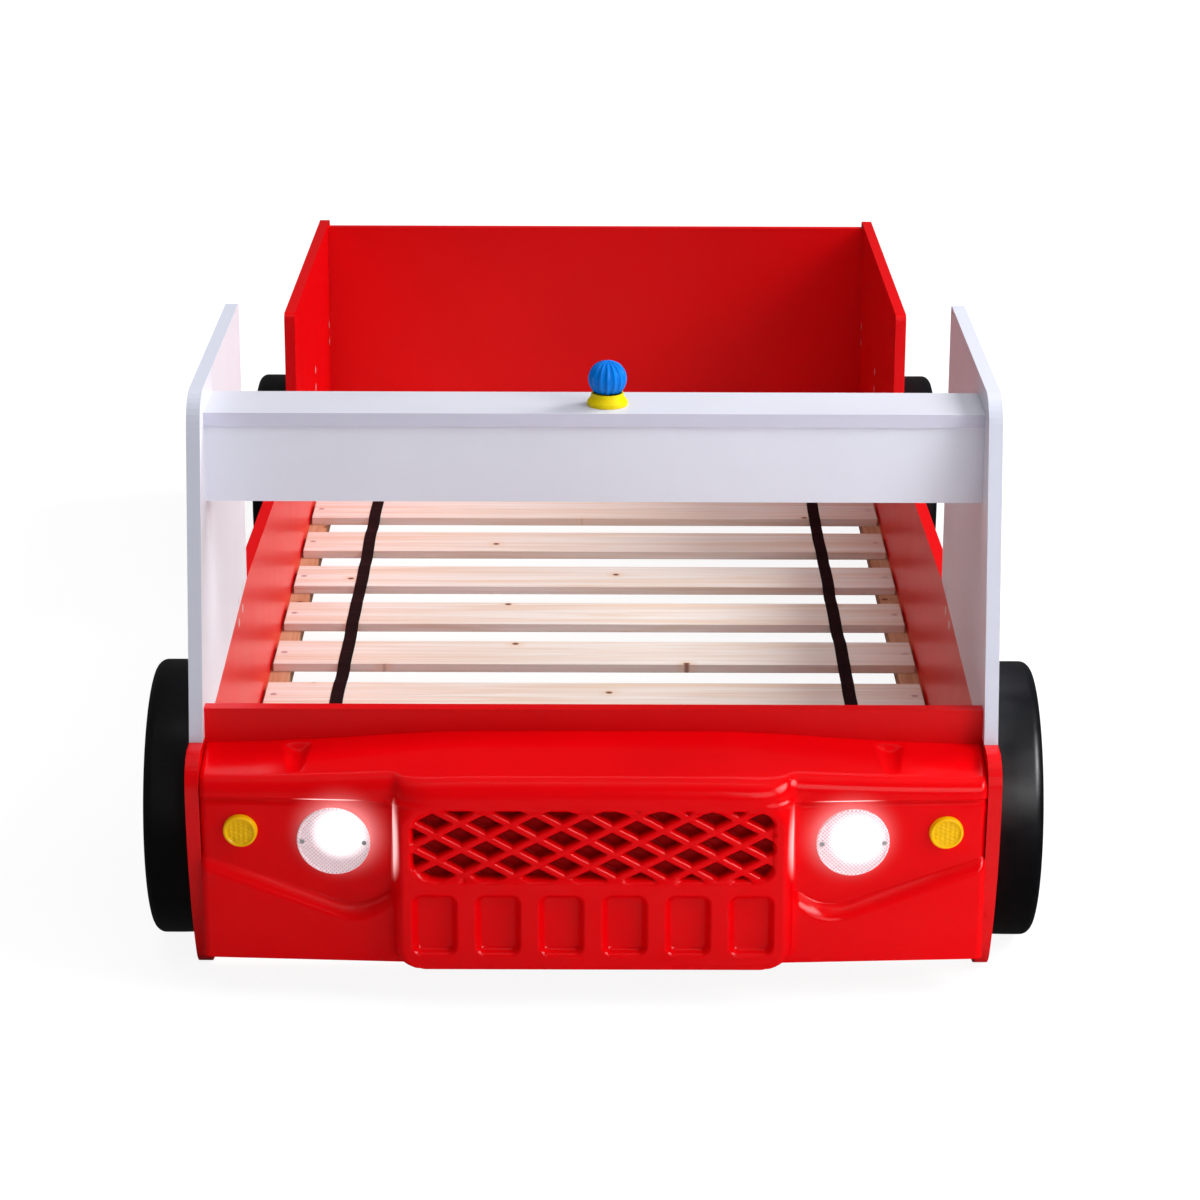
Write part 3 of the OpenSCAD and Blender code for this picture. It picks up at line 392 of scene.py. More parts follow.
@dataclass(frozen=True)
class Plastic(Finish):
    """Moulded plastic with a faint orange peel and slightly uneven gloss."""

    colour: Colour
    rough: float
    peel: float = 0.1
    coat: float = 0.0
    grain: float = 140.0
    shine: float = 0.5

    def lay(self, r: Recipe) -> None:
        """Lays out the finish.

        Args:
            r: The recipe that it goes into.
        """
        at = r.where()
        cloud, haze = r.noise(at, 9.0, 3.0), r.noise(at, 40.0, 3.0)
        r.set(Base_Color=r.mix(r.span(cloud, 0.3, 0.7), self.colour, dimmed(self.colour, 0.93)),
              Roughness=r.span(haze, 0.25, 0.75, self.rough * 0.85, self.rough * 1.2),
              Coat_Weight=self.coat, Coat_Roughness=0.06, Specular_IOR_Level=self.shine)
        r.relief(r.noise(at, self.grain, 2.0), self.peel, 0.0006)


@dataclass(frozen=True)
class GlowingRed(Plastic):
    """The nose's plastic, with painted glow and painted highlights as emission near the lit lamps,
    where their light would fall, and painted shade in the mesh's cells.
    """

    # Reach and strength of the painted glow and painted highlights, then where the painted shade in
    # the mesh's cells falls.
    lamps: tuple[Triple, ...] = ((-0.293, -1.064, 0.206), (0.297, -1.064, 0.203))
    glow: float = 0.4
    glow_reach: Pair = (0.036, 0.071)
    flank_glow: float = 0.8
    flank_reach: Pair = (0.068, 0.086)
    flank_turned: Pair = (0.6, 0.97)
    lip_h: float = 0.2498
    lip_thick: Pair = (0.0007, 0.0019)
    lip_x: Pair = (-0.304, 0.294)
    lip_wide: Pair = (0.012, 0.046)
    front_y: float = -1.094
    shade_deep: Pair = (0.006, 0.019)
    mesh_h: float = 0.202
    mesh_wide: Pair = (0.208, 0.212)
    mesh_high: Pair = (0.045, 0.048)
    shade: float = 0.38

    def lay(self, r: Recipe) -> None:
        """Lays out the finish.

        Args:
            r: The recipe that it goes into.
        """
        super().lay(r)
        normal = r.axes(r.where(Coords.NORMAL))["X"]
        facing = r.span(r.sum("ABSOLUTE", normal), *self.flank_turned, soft=True)
        # Painted glow: emission on the nose that fades with distance from each lamp, in place of
        # the lamps' light on the plastic.
        away = [r.away(lamp) for lamp in self.lamps]
        near = r.fold("ADD", [
            r.sum("POWER", r.span(d, *self.glow_reach, 1.0, 0.0), 3.0) for d in away])
        # Painted highlight: emission on the grille block's side walls where they face a lamp.
        flank = r.fold("ADD", [
            r.span(d, *self.flank_reach, self.flank_glow, 0.0, soft=True) for d in away])
        lip = r.sum("MAXIMUM", self.painted_lip_highlight(r), r.sum("MULTIPLY", flank, facing))
        # The painted highlights are whiter and the painted glow pinker.
        r.set(Emission_Color=r.mix(lip, (1.0, 0.55, 0.55), (1.0, 0.9, 0.88)),
              Emission_Strength=r.sum("MAXIMUM", r.sum("MULTIPLY", near, self.glow), lip))
        self.darken_cells(r)

    def painted_lip_highlight(self, r: Recipe) -> NodeSocket:
        """A painted highlight along the brow's lower edge above each lamp, where the lamp's light
        would catch it.

        Args:
            r: The recipe that it goes into.

        Returns:
            How much of it shows, from 0 to 1.
        """
        at = r.axes(r.where())
        on_line = r.span(r.apart(at["Z"], self.lip_h), *self.lip_thick, 1.0, 0.0, soft=True)
        over = [r.span(r.apart(at["X"], x), *self.lip_wide, 1.0, 0.0, soft=True)
                for x in self.lip_x]
        return r.sum("MULTIPLY", on_line, r.fold("MAXIMUM", over))

    def darken_cells(self, r: Recipe) -> None:
        """Darkens the bottoms of the mesh's cells, where little light falls.

        Args:
            r: The recipe that it goes into.
        """
        at = r.axes(r.where())
        deep = r.span(at["Y"], *(self.front_y + y for y in self.shade_deep), soft=True)
        across = r.span(r.sum("ABSOLUTE", at["X"]), *self.mesh_wide, 1.0, 0.0)
        up = r.span(r.apart(at["Z"], self.mesh_h), *self.mesh_high, 1.0, 0.0)
        share = r.fold("MULTIPLY", (deep, across, up))
        base = r.shader.inputs["Base Color"].links[0].from_socket
        r.set(Base_Color=r.mix(share, base, dimmed(self.colour, self.shade)),
              Specular_IOR_Level=r.span(share, 0.0, 1.0, self.shine, self.shine * 0.4))


@dataclass(frozen=True)
class Pine(Finish):
    """Planed pine: fine long grain, broad bands and a few knots."""

    pale: Colour
    band: Colour
    knot: Colour
    along: int = 0
    knots: float = 4.6
    fine: Pair = (260.0, 4.0)
    broad: Pair = (24.0, 1.1)
    arris: float = 0.0017

    def lay(self, r: Recipe) -> None:
        """Lays out the finish.

        Args:
            r: The recipe that it goes into.
        """
        stretch = [tuple(length if axis == self.along else across for axis in range(3))
                   for across, length in (self.fine, self.broad)]
        at = r.where()
        lines = r.noise(r.where(scale=stretch[0]), 1.0, 2.0)
        bands = r.noise(r.where(scale=stretch[1]), 2.0, 3.0, 0.6, 0.6)
        spots = r.node("TexVoronoi", feature="F1", voronoi_dimensions="2D")
        away = r.fill(spots, Vector=at, Scale=self.knots)["Distance"]
        core = r.span(away, 0.012, 0.030, 1.0, 0.0, soft=True)
        ring = r.span(away, 0.022, 0.095, 0.75, 0.0, soft=True)
        tone = r.mix(r.span(bands, 0.40, 0.64, 0.0, 0.9), self.pale, self.band)
        tone = r.mix(r.span(lines, 0.42, 0.74, 0.0, 0.4), tone, dimmed(self.band, 0.72))
        tone = r.mix(ring, tone, self.band)
        r.set(Base_Color=r.mix(core, tone, self.knot), Specular_IOR_Level=0.3,
              Roughness=r.span(r.noise(at, 30.0), 0.2, 0.8, 0.55, 0.7))
        r.relief(lines, 0.25, 0.0003, self.arris)


@dataclass(frozen=True)
class Webbing(Finish):
    """Flat woven strap: threads that cross, dull and slightly hairy."""

    thread: Colour
    gap: Colour
    pitch: float = 0.0021

    def lay(self, r: Recipe) -> None:
        """Lays out the finish.

        Args:
            r: The recipe that it goes into.
        """
        across, along = self.threads(r, "X", 0.75), self.threads(r, "Y", 1.0)
        weave = r.sum("MAXIMUM", across, r.sum("MULTIPLY", along, 0.8))
        fuzz = r.noise(r.where(), 1400.0, 2.0)
        share = r.span(r.sum("ADD", weave, fuzz), 0.5, 1.5)
        r.set(Base_Color=r.mix(share, self.gap, self.thread), Roughness=0.85,
              Sheen_Weight=0.02, Sheen_Roughness=0.5, Specular_IOR_Level=0.12)
        r.relief(weave, 0.9, 0.0004)

    def threads(self, r: Recipe, axis: str, rate: float) -> NodeSocket:
        """The height of one direction's threads, which repeat along an axis at a rate."""
        wave = r.node("TexWave", bands_direction=axis)
        return r.fill(wave, Vector=r.where(), Scale=rate / (self.pitch * math.pi),
                      Distortion=0.6, Detail_Scale=3.0)["Fac"]


@dataclass(frozen=True)
class Steel(Finish):
    """Plated steel with cloudy plating and faint scratches."""

    colour: Colour
    rough: float
    metal: float = 0.5

    def lay(self, r: Recipe) -> None:
        """Lays out the finish.

        Args:
            r: The recipe that it goes into.
        """
        at = r.where()
        cloud, haze = r.noise(at, 220.0, 4.0), r.noise(at, 700.0, 3.0)
        r.set(Base_Color=r.mix(cloud, self.colour, dimmed(self.colour, 1.15)),
              Roughness=r.span(haze, 0.2, 0.8, self.rough - 0.08, self.rough + 0.1),
              Metallic=self.metal)
        r.relief(r.noise(r.where(scale=(1.0, 30.0, 1.0)), 900.0), 0.15, 0.0001)


@dataclass(frozen=True)
class LitLens(Finish):
    """Clear ribbed plastic in front of a lit lamp, whose bright spot lies to one side, with painted
    shade in its grooves.
    """

    spot: Triple
    spot_r: float
    pitch: float = 0.0033
    tint: Colour = srgb(246, 236, 240)
    # The grooves' colour is painted shade between the crossed prisms.
    groove: Colour = srgb(232, 168, 182)
    light: Pair = (0.19, 1.1)

    def lay(self, r: Recipe) -> None:
        """Lays out the finish.

        Args:
            r: The recipe that it goes into.
        """
        lit = r.span(r.away(self.spot), self.spot_r * 0.6, self.spot_r * 1.25, 1.0, 0.0, soft=True)
        at = r.where()
        sides = r.axes(at)
        rate = 2 * math.pi / (self.pitch * math.sqrt(2))
        # Painted shade: the groove colour darkens the lines between the prisms, where the lens's
        # own glow hides their real shading.
        hatch = r.fold("MAXIMUM", [
            r.sum("SINE", r.sum("MULTIPLY", r.sum(way, sides["X"], sides["Z"]), rate))
            for way in ("ADD", "SUBTRACT")])
        r.set(Base_Color=r.mix(r.span(hatch, 0.2, 0.95), self.groove, self.tint), Roughness=0.14,
              Specular_IOR_Level=0.5, Emission_Color=(1.0, 0.96, 0.97),
              Emission_Strength=r.span(lit, 0.0, 1.0, *self.light))
        r.relief(r.noise(at, 500.0, 2.0), 0.05, 0.0002)


class Paints:
    """Every finish of the bed, made once and kept under its own name."""

    def __init__(self) -> None:
        """Makes the materials."""
        red, white = srgb(227, 1, 9), srgb(235, 238, 250)
        finishes = (
            Lacquer("red_side_board", red, red, 0),
            Lacquer("red_end_board", red, red, 1),
            # These three are one white lacquer; their different base colours stand in for how the
            # lamps light each board: painted light on the front-facing face board, painted shade on
            # the upward-facing shelf.
            Lacquer("white_side_board", srgb(226, 227, 236), srgb(212, 215, 229), 0, 0.4),
            Lacquer("white_face_board", white, white, 1, 0.4),
            Lacquer("white_shelf_board", srgb(211, 212, 223), srgb(214, 214, 232), 2, 0.4),
            Pine("planed_pine", srgb(235, 229, 223), srgb(226, 204, 185), srgb(120, 66, 40)),
            Pine("strip_pine", srgb(205, 158, 126), srgb(184, 130, 96), srgb(110, 62, 40), 1),
            Webbing("woven_strap", srgb(24, 11, 14), srgb(10, 5, 6)),
            Steel("zinc_plating", (0.62, 0.63, 0.65), 0.34),
            Steel("black_staple", (0.016, 0.012, 0.013), 0.6),
            Steel("cam_casting", (0.72, 0.72, 0.74), 0.42),
            Plastic("black_wheel", srgb(5, 5, 10), 0.34, 0.1, 0.0, 900.0, 0.8),
            Plastic("grey_cap", srgb(92, 94, 99), 0.32, 0.2, 0.0, 700.0),
            Plastic("yellow_base", srgb(250, 222, 0), 0.4, 0.1, shine=0.2),
            Plastic("blue_globe", srgb(0, 122, 226), 0.35, 0.06, shine=0.15),
            Plastic("amber_button", srgb(255, 198, 0), 0.22, 0.05, shine=0.3),
            Plastic("white_bowl", srgb(240, 240, 242), 0.2, 0.05, 0.3),
            Plastic("lamp_board", srgb(206, 200, 120), 0.5, 0.1, 0.0, 500.0),
            Plastic("box_shell", srgb(52, 53, 56), 0.42, 0.3, 0.0, 900.0),
            Plastic("box_cover", srgb(70, 71, 75), 0.45, 0.3, 0.0, 900.0),
            Plastic("switch_key", srgb(18, 18, 19), 0.28, 0.15, 0.0, 800.0),
            Plastic("cell_wrap", srgb(74, 110, 140), 0.3, 0.05, 0.4),
            GlowingRed("moulded_red", srgb(240, 1, 9), 0.14, 0.04, 0.0, 55.0, 0.3))
        for finish in finishes:
            setattr(self, finish.name, finish.material())


def dress(material: Material, *nodes: str, arris: float = 0.0) -> None:
    """Gives nodes a finish and, if asked, slightly rounded edges.

    Args:
        material: The finish.
        nodes: The nodes that take it.
        arris: The width of the rounded edges in millimetres.
    """
    for name in nodes:
        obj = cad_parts[name]
        if arris:
            obj.modifiers.new("join", "WELD").merge_threshold = 1e-5
            edge = obj.modifiers.new("arris", "BEVEL")
            edge.width, edge.segments = arris / 1000, 2
            edge.limit_method, edge.angle_limit = "ANGLE", math.radians(50)
            edge.harden_normals = True
        if not obj.material_slots:
            obj.data.materials.append(material)
        for entry in obj.material_slots:
            entry.material = material
        LOG.info("%s wears %s", name, material.name)


@dataclass
class Piece:
    """A sub-assembly, which takes its finishes from the bed's."""

    paints: Paints


@dataclass
class LampPlace:
    """The slightly sunk and leaning field that a lamp and an indicator sit on."""

    lamp_x: float = 300.0
    lamp_h: float = 197.0
    inset: float = 8.0
    lean: float = 6.0
    sweep: float = 3.2
    end_reach: float = 84.0
    half_in: float = 455.0

    def matrix(self, side: Side, x: float, h: float) -> Array:
        """The axes of a round piece on the field, with +Z out of it.

        Args:
            side: The side it is on.
            x: Its distance from the middle plane.
            h: Its height.

        Returns:
            The matrix into the front board's axes, in millimetres.
        """
        lean, sweep = math.radians(90 + self.lean), math.radians(self.sweep)
        (ca, sa), (cc, sc) = ((math.cos(turn), math.sin(turn)) for turn in (lean, sweep))
        y = self.inset - self.end_reach - (self.half_in - self.lamp_x) * math.tan(sweep)
        out = np.array([[cc, -sc * ca, sc * sa, self.lamp_x], [sc, cc * ca, -cc * sa, y],
                        [0, sa, ca, self.lamp_h], [0, 0, 0, 1]])
        shift = np.eye(4)
        up = (h - self.lamp_h) / math.cos(math.radians(self.lean))
        shift[:3, 3] = (x - self.lamp_x, up, 0)
        return np.diag([float(side.value), 1, 1, 1]) @ (out @ shift)

    def seat(self, points: Array, side: Side, x: float, h: float) -> Array:
        """Moves a round piece's points onto the field, and so into the frame."""
        m = self.matrix(side, x, h)
        return place(points @ m[:3, :3].T + m[:3, 3])


@dataclass
class Nose(Piece):
    """The moulded nose: hood, grille block with its mesh and recesses, two lamp fields."""

    half: float = 455.0
    low: float = 50.0
    wall: float = 3.0
    end_r: float = 9.0
    grille_reach: float = 118.0
    grille_half: float = 231.0
    foot_r: float = 24.0
    shoulder_r: float = 30.0
    shoulder_h: float = 247.0
    flank_w: Pair = (14.0, 34.0)
    flank_h: Pair = (226.0, 38.0)
    skirt: Pair = (0.16, 9.0)
    hood_h: float = 302.0
    hood_slope: float = 10.90
    hood_end_r: float = 6.0
    brow_r: float = 21.0
    grille_brow_r: float = 25.0
    brow_low: float = 250.0
    brow_h: float = 262.0
    brow_ease: float = 6.0
    falls: tuple[Pair, ...] = (
        (0, 0), (150, 0.3), (211, 2.7), (275, 7.5), (338, 11.4), (400, 14.2), (455, 15.6))
    fall_step: float = 5.0
    fall_ease: int = 13
    mesh_h: float = 202.0
    mesh_half: Pair = (209.0, 43.0)
    mesh_r: float = 22.0
    mesh_depth: float = 18.0
    mesh_margin: float = 4.0
    mesh_edge: float = 6.5
    rib_depth: float = 3.2
    rib_half: float = 4.1
    rib_ease: Pair = (0.6, 2.8)
    rib_crown: Pair = (0.8, 2.5)
    pillow: Pair = (1.2, 9.0)
    cell: Pair = (-66.2, 226.4)
    step_down: Pair = (30.4, -16.9)
    step_up: Pair = (28.2, 14.9)
    recess_count: int = 6
    recess_pitch: float = 73.2
    recess_half: Pair = (23.5, 35.0)
    recess_h: float = 105.0
    recess_depth: float = 10.0
    recess_r: float = 9.0
    recess_ease: Pair = (4.0, 9.0)
    ledge: tuple[Pair, Pair, Pair] = ((231.0, 134.0), (271.0, 106.0), (455.0, 171.0))
    ledge_soft: float = 24.0
    ledge_ease: Pair = (13.0, 17.0)
    lip_ease: Pair = (2.0, 2.2)
    undercut: Triple = (2.5, 238.0, 9.0)
    dent_x: float = 345.0
    dent_half: float = 22.0
    dent_depth: float = 9.0
    dent_reach: float = 84.0
    dent_start: float = 6.0
    dent_ease: float = 8.0
    dent_tip: float = 7.0
    lamp_hole: float = 39.5
    lamp_hole_deep: float = 12.0
    marks: tuple[float, ...] = (0.0, 200.0, 242.0, 440.0, 454.0)
    steps: tuple[int, ...] = (170, 61, 110, 15)
    end_gaps: tuple[float, ...] = (1.0, 0.5, 0.2, 0.05, 0.0)
    front_rows: int = 176
    brow_rows: int = 12
    hood_rows: int = 46
    field: LampPlace = field(default_factory=LampPlace)

    def cheek(self, x: Array) -> Array:
        """Reach of the swept front beside the grille at x."""
        slope = math.tan(math.radians(self.field.sweep))
        return self.field.end_reach + (self.half - np.abs(x)) * slope

    def block(self, x: Array, z: Array) -> Array:
        """How far the grille block stands out of the front, from 0 to 1.

        Args:
            x: Places across the nose.
            z: Heights.

        Returns:
            The share at each place.
        """
        foot = np.clip(self.low + self.foot_r - z, 0, self.foot_r)
        half = self.grille_half - self.foot_r + np.sqrt(self.foot_r ** 2 - foot ** 2)
        head = np.clip(z - self.shoulder_h, 0, 0.8 * self.shoulder_r)
        half = half - self.shoulder_r + np.sqrt(self.shoulder_r ** 2 - head ** 2)
        width = self.flank_w[0] + self.flank_w[1] * smooth((z - self.flank_h[0]) / self.flank_h[1])
        wall = quarter((np.abs(x) - (half - width)) / width)
        skirt = self.skirt[0] * np.clip(1 - (np.abs(x) - half) / self.skirt[1], 0, 1) ** 2
        return np.maximum(wall, skirt)

    def sunk(self, x: Array, z: Array) -> Array:
        """Depth of the lamp field behind the front.

        Args:
            x: Places across the nose.
            z: Heights.

        Returns:
            The depth in millimetres.
        """
        ax = np.abs(x)
        deep = self.field.inset + (self.field.lamp_h - z) * math.tan(math.radians(self.field.lean))
        inner, low, outer = (np.array(p) for p in self.ledge)
        sides = []
        for a, b in ((inner, low), (low, outer)):
            d = (b - a) / np.linalg.norm(b - a)
            sides.append(-(ax - a[0]) * d[1] + (z - a[1]) * d[0])
        k = self.ledge_soft
        h = np.clip(0.5 + 0.5 * (sides[1] - sides[0]) / k, 0, 1)
        above = sides[1] * (1 - h) + sides[0] * h - k * h * (1 - h)
        slope = np.clip((above + self.ledge_ease[0]) / self.ledge_ease[1], 0, 1)
        lip = 1 - smooth((z - self.brow_low + self.lip_ease[0]) / self.lip_ease[1])
        more, start, ease = self.undercut
        return (deep + more * smooth((z - start) / ease)) * slope ** 2.1 * lip

    def mesh(self, x: Array, z: Array) -> Array:
        """Depth of the mesh field, its ribs and its cells.

        Args:
            x: Places across the nose.
            z: Heights.

        Returns:
            The depth in millimetres.
        """
        inside = rounded_box(x, z - self.mesh_h, self.mesh_half, self.mesh_r)
        edge = 1 - quarter((inside + self.mesh_margin) / self.mesh_edge)
        (ax, az), (bx, bz) = self.step_down, self.step_up
        area = ax * bz - az * bx
        u, v = x - self.cell[0], z - self.cell[1]
        p = (u * bz - v * bx) / area
        q = (v * ax - u * az) / area
        fp, fq = np.abs(p - np.round(p)), np.abs(q - np.round(q))
        gap = np.minimum((0.5 - fp) * area / math.hypot(bx, bz),
                         (0.5 - fq) * area / math.hypot(ax, az))
        down = smooth((gap - self.rib_half + self.rib_ease[0]) / self.rib_ease[1])
        pillow = self.pillow[0] * np.clip(1 - (fp ** 2 + fq ** 2) * self.pillow[1], 0, 1)
        crown = self.rib_crown[0] * np.clip(gap / self.rib_half, 0, 1) ** self.rib_crown[1]
        depth = self.rib_depth + crown
        depth = depth + (self.mesh_depth - self.rib_depth - crown - pillow) * down
        return np.where(inside > -self.mesh_margin, edge * depth, 0.0)

    def recesses(self, x: Array, z: Array) -> Array:
        """Depth of the soft recesses below the mesh.

        Args:
            x: Places across the nose.
            z: Heights.

        Returns:
            The depth in millimetres.
        """
        last = self.recess_count - 1
        nearest = np.clip(np.round(x / self.recess_pitch + last / 2), 0, last)
        across = x - (nearest - last / 2) * self.recess_pitch
        inside = rounded_box(across, z - self.recess_h, self.recess_half, self.recess_r)
        return self.recess_depth * smooth((inside + self.recess_ease[0]) / self.recess_ease[1])

    def reach(self, x: Array, z: Array) -> Array:
        """How far the front stands before the front board.

        Args:
            x: Places across the nose.
            z: Heights.

        Returns:
            The reach in millimetres.
        """
        back = self.cheek(x) - self.sunk(x, z)
        out = back + (self.grille_reach - back) * self.block(x, z)
        out = out - self.mesh(x, z) - self.recesses(x, z)
        over = np.clip(np.abs(x) - self.half + self.end_r, 0, self.end_r)
        return out - self.end_r * (1 - quarter(over / self.end_r))

    def hood(self, x: Array, y: Array) -> Array:
        """The hood's height with its fall to the sides, its dents and its rounded ends.

        Args:
            x: Places across the nose.
            y: Places along the bed.

        Returns:
            The height in millimetres.
        """
        knots = np.array(self.falls)
        ax = np.abs(x)
        fine = np.arange(0, self.half + 3 * self.fall_step, self.fall_step)
        rough = np.pad(np.interp(fine, knots[:, 0], knots[:, 1]), self.fall_ease // 2, mode="edge")
        kernel = np.hanning(self.fall_ease)
        eased = np.convolve(rough, kernel / kernel.sum(), mode="valid")
        z = self.hood_h - np.interp(ax, fine, eased) + y * math.tan(math.radians(self.hood_slope))
        along = np.clip(1 + y / self.dent_reach, 0, 1)
        wide = self.dent_tip + (self.dent_half - self.dent_tip) * along
        groove = np.clip(1 - np.abs(ax - self.dent_x) / wide, 0, 1)
        begun = smooth((-y - self.dent_start) / self.dent_ease)
        z = z - self.dent_depth * along ** 0.7 * begun * smooth(groove * 1.05)
        over = np.clip(ax - self.half + self.hood_end_r, 0, self.hood_end_r)
        return z - self.hood_end_r * (1 - quarter(over / self.hood_end_r))

    def columns(self) -> Array:
        """Places across the nose, closer where the form turns quickly.

        Returns:
            The places in millimetres.
        """
        runs = [np.linspace(start, end, count)[:-1]
                for start, end, count in zip(self.marks, self.marks[1:], self.steps)]
        right = np.concatenate([*runs, self.half - np.array(self.end_gaps)])
        return np.concatenate([-right[:0:-1], right])

    def points(self) -> Array:
        """The outer skin, from its lower edge up and back over the hood.

        Returns:
            The points of each row, one row after the other.
        """
        xs = self.columns()
        turn = math.pi / 2 - math.radians(self.hood_slope)
        brow = np.full_like(xs, self.brow_h)
        front = self.reach(xs, brow)
        radius = self.brow_r + (self.grille_brow_r - self.brow_r) * self.block(xs, brow)
        start = self.hood(xs, -front) - radius * math.tan(turn / 2)
        rows = []
        for v in np.linspace(0, 1, self.front_rows):
            z = self.low + (start - self.low) * v
            reach = self.reach(xs, np.minimum(z, self.brow_h))
            top = smooth((z - (start - self.brow_ease)) / self.brow_ease)
            rows.append(np.stack([xs, -(reach * (1 - top) + front * top), z], 1))
        for i in range(1, self.brow_rows + 1):
            a = turn * i / self.brow_rows
            y = -front + radius * (1 - np.cos(a))
            rows.append(np.stack([xs, y, start + radius * np.sin(a)], 1))
        y0 = rows[-1][:, 1].copy()
        lift = rows[-1][:, 2] - self.hood(xs, y0)
        for v in np.linspace(0, 1, self.hood_rows)[1:]:
            y = y0 * (1 - v)
            rows.append(np.stack([xs, y, self.hood(xs, y) + lift * (1 - v)], 1))
        grid = np.stack(rows)
        walls = grid[:, [0, -1]]
        walls[:, :, 1] = 0
        return np.concatenate([walls[:, :1], grid, walls[:, 1:]], 1)

    def build(self) -> None:
        """Makes the nose's skin with its two lamp holes."""
        grid = self.points()
        flat = grid.reshape(-1, 3)
        faces = grid_faces(*grid.shape[:2])
        middle = flat[faces].mean(1)
        keep = np.ones(len(faces), bool)
        for side in Side:
            m = np.linalg.inv(self.field.matrix(side, self.field.lamp_x, self.field.lamp_h))
            local = middle @ m[:3, :3].T + m[:3, 3]
            beside = np.hypot(local[:, 0], local[:, 1]) > self.lamp_hole
            keep &= beside | (np.abs(local[:, 2]) > self.lamp_hole_deep)
        obj = make_mesh("nose_skin", place(flat), faces[keep], self.paints.moulded_red)
        thick = obj.modifiers.new("wall", "SOLIDIFY")
        thick.thickness = self.wall / 1000
        thick.offset = -1.0
        mount(obj, "red_plastic", "nose_shell")


@dataclass
class Headlamp(Piece):
    """A clear lens with crossed prisms and a plain rim, lit from behind."""

    side: Side
    radius: float = 42.5
    rise: float = 4.0
    rim: float = 2.6
    pitch: float = 3.3
    prism: float = 0.8
    dome: float = 0.4
    overlap: float = 0.5
    left_spot: Pair = (-8.0, 11.0)
    right_spot: Pair = (5.0, 5.0)
    spot_r: float = 0.031
    field: LampPlace = field(default_factory=LampPlace)

    def height(self, x: Array, y: Array) -> Array:
        """Height of the prisms.

        Args:
            x: Places across the lens.
            y: Places up it.

        Returns:
            The height in millimetres.
        """
        height = self.rise - self.overlap - self.prism
        for w in ((x + y) / math.sqrt(2), (x - y) / math.sqrt(2)):
            height = height + self.prism / 2 * (1 - np.abs(((w / self.pitch) % 1) * 2 - 1))
        return height - self.dome * (np.hypot(x, y) / (self.radius - self.rim)) ** 2

    def build(self) -> None:
        """Makes the lens."""
        inner = self.radius - self.rim
        half = inner + self.overlap
        rim = fillet([
            (inner - 0.2, self.rise - 2.2, 0), (inner + 0.1, self.rise, 0.5),
            (self.radius, self.rise, 1.4), (self.radius, 0.0, 0)], 4)
        points, faces = patterned_disc(half, half, 150, self.height, rim, 96)
        at = (self.side, self.field.lamp_x, self.field.lamp_h)
        across, up = self.left_spot if self.side is Side.LEFT else self.right_spot
        spot = self.field.seat(np.zeros((1, 3)), self.side, at[1] + across, at[2] + up)
        finish = LitLens(f"lit_lens_{self.side.word}", tuple(map(float, spot[0])), self.spot_r)
        obj = make_mesh(f"lens_prisms_{self.side.word}", self.field.seat(points, *at), faces,
                        finish.material())
        mount(obj, "clear_plastic", f"lens_{self.side.word}")


@dataclass
class Indicator(Piece):
    """A round amber button with a raised rim and rows of small bumps."""

    side: Side
    x: float = 408.0
    h: float = 208.0
    radius: float = 20.0
    rise: float = 7.0
    rim: float = 4.0
    pitch: Pair = (5.6, 5.0)
    bump: float = 0.9
    bump_r: float = 2.2
    field: LampPlace = field(default_factory=LampPlace)

    def height(self, x: Array, y: Array) -> Array:
        """Height of the bumps.

        Args:
            x: Places across the button.
            y: Places up it.

        Returns:
            The height in millimetres.
        """
        wide, high = self.pitch
        column = np.round(x / wide)
        dy = y - (column % 2) * high / 2
        away = np.hypot(x - column * wide, dy - np.round(dy / high) * high)
        return self.rise - 2.0 + self.bump * np.clip(1 - (away / self.bump_r) ** 2, 0, 1)

    def build(self) -> None:
        """Makes the button."""
        inner = self.radius - self.rim
        rim = fillet([
            (inner - 1.2, self.rise - 2.4, 0), (inner + 0.4, self.rise, 1.0),
            (self.radius - 0.6, self.rise, 2.2), (self.radius, 0.0, 0)], 5)
        points, faces = patterned_disc(inner, inner + 0.1, 90, self.height, rim, 72)
        obj = make_mesh(f"amber_button_{self.side.word}",
                        self.field.seat(points, self.side, self.x, self.h), faces,
                        self.paints.amber_button)
        mount(obj, "yellow_plastic", f"indicator_{self.side.word}")


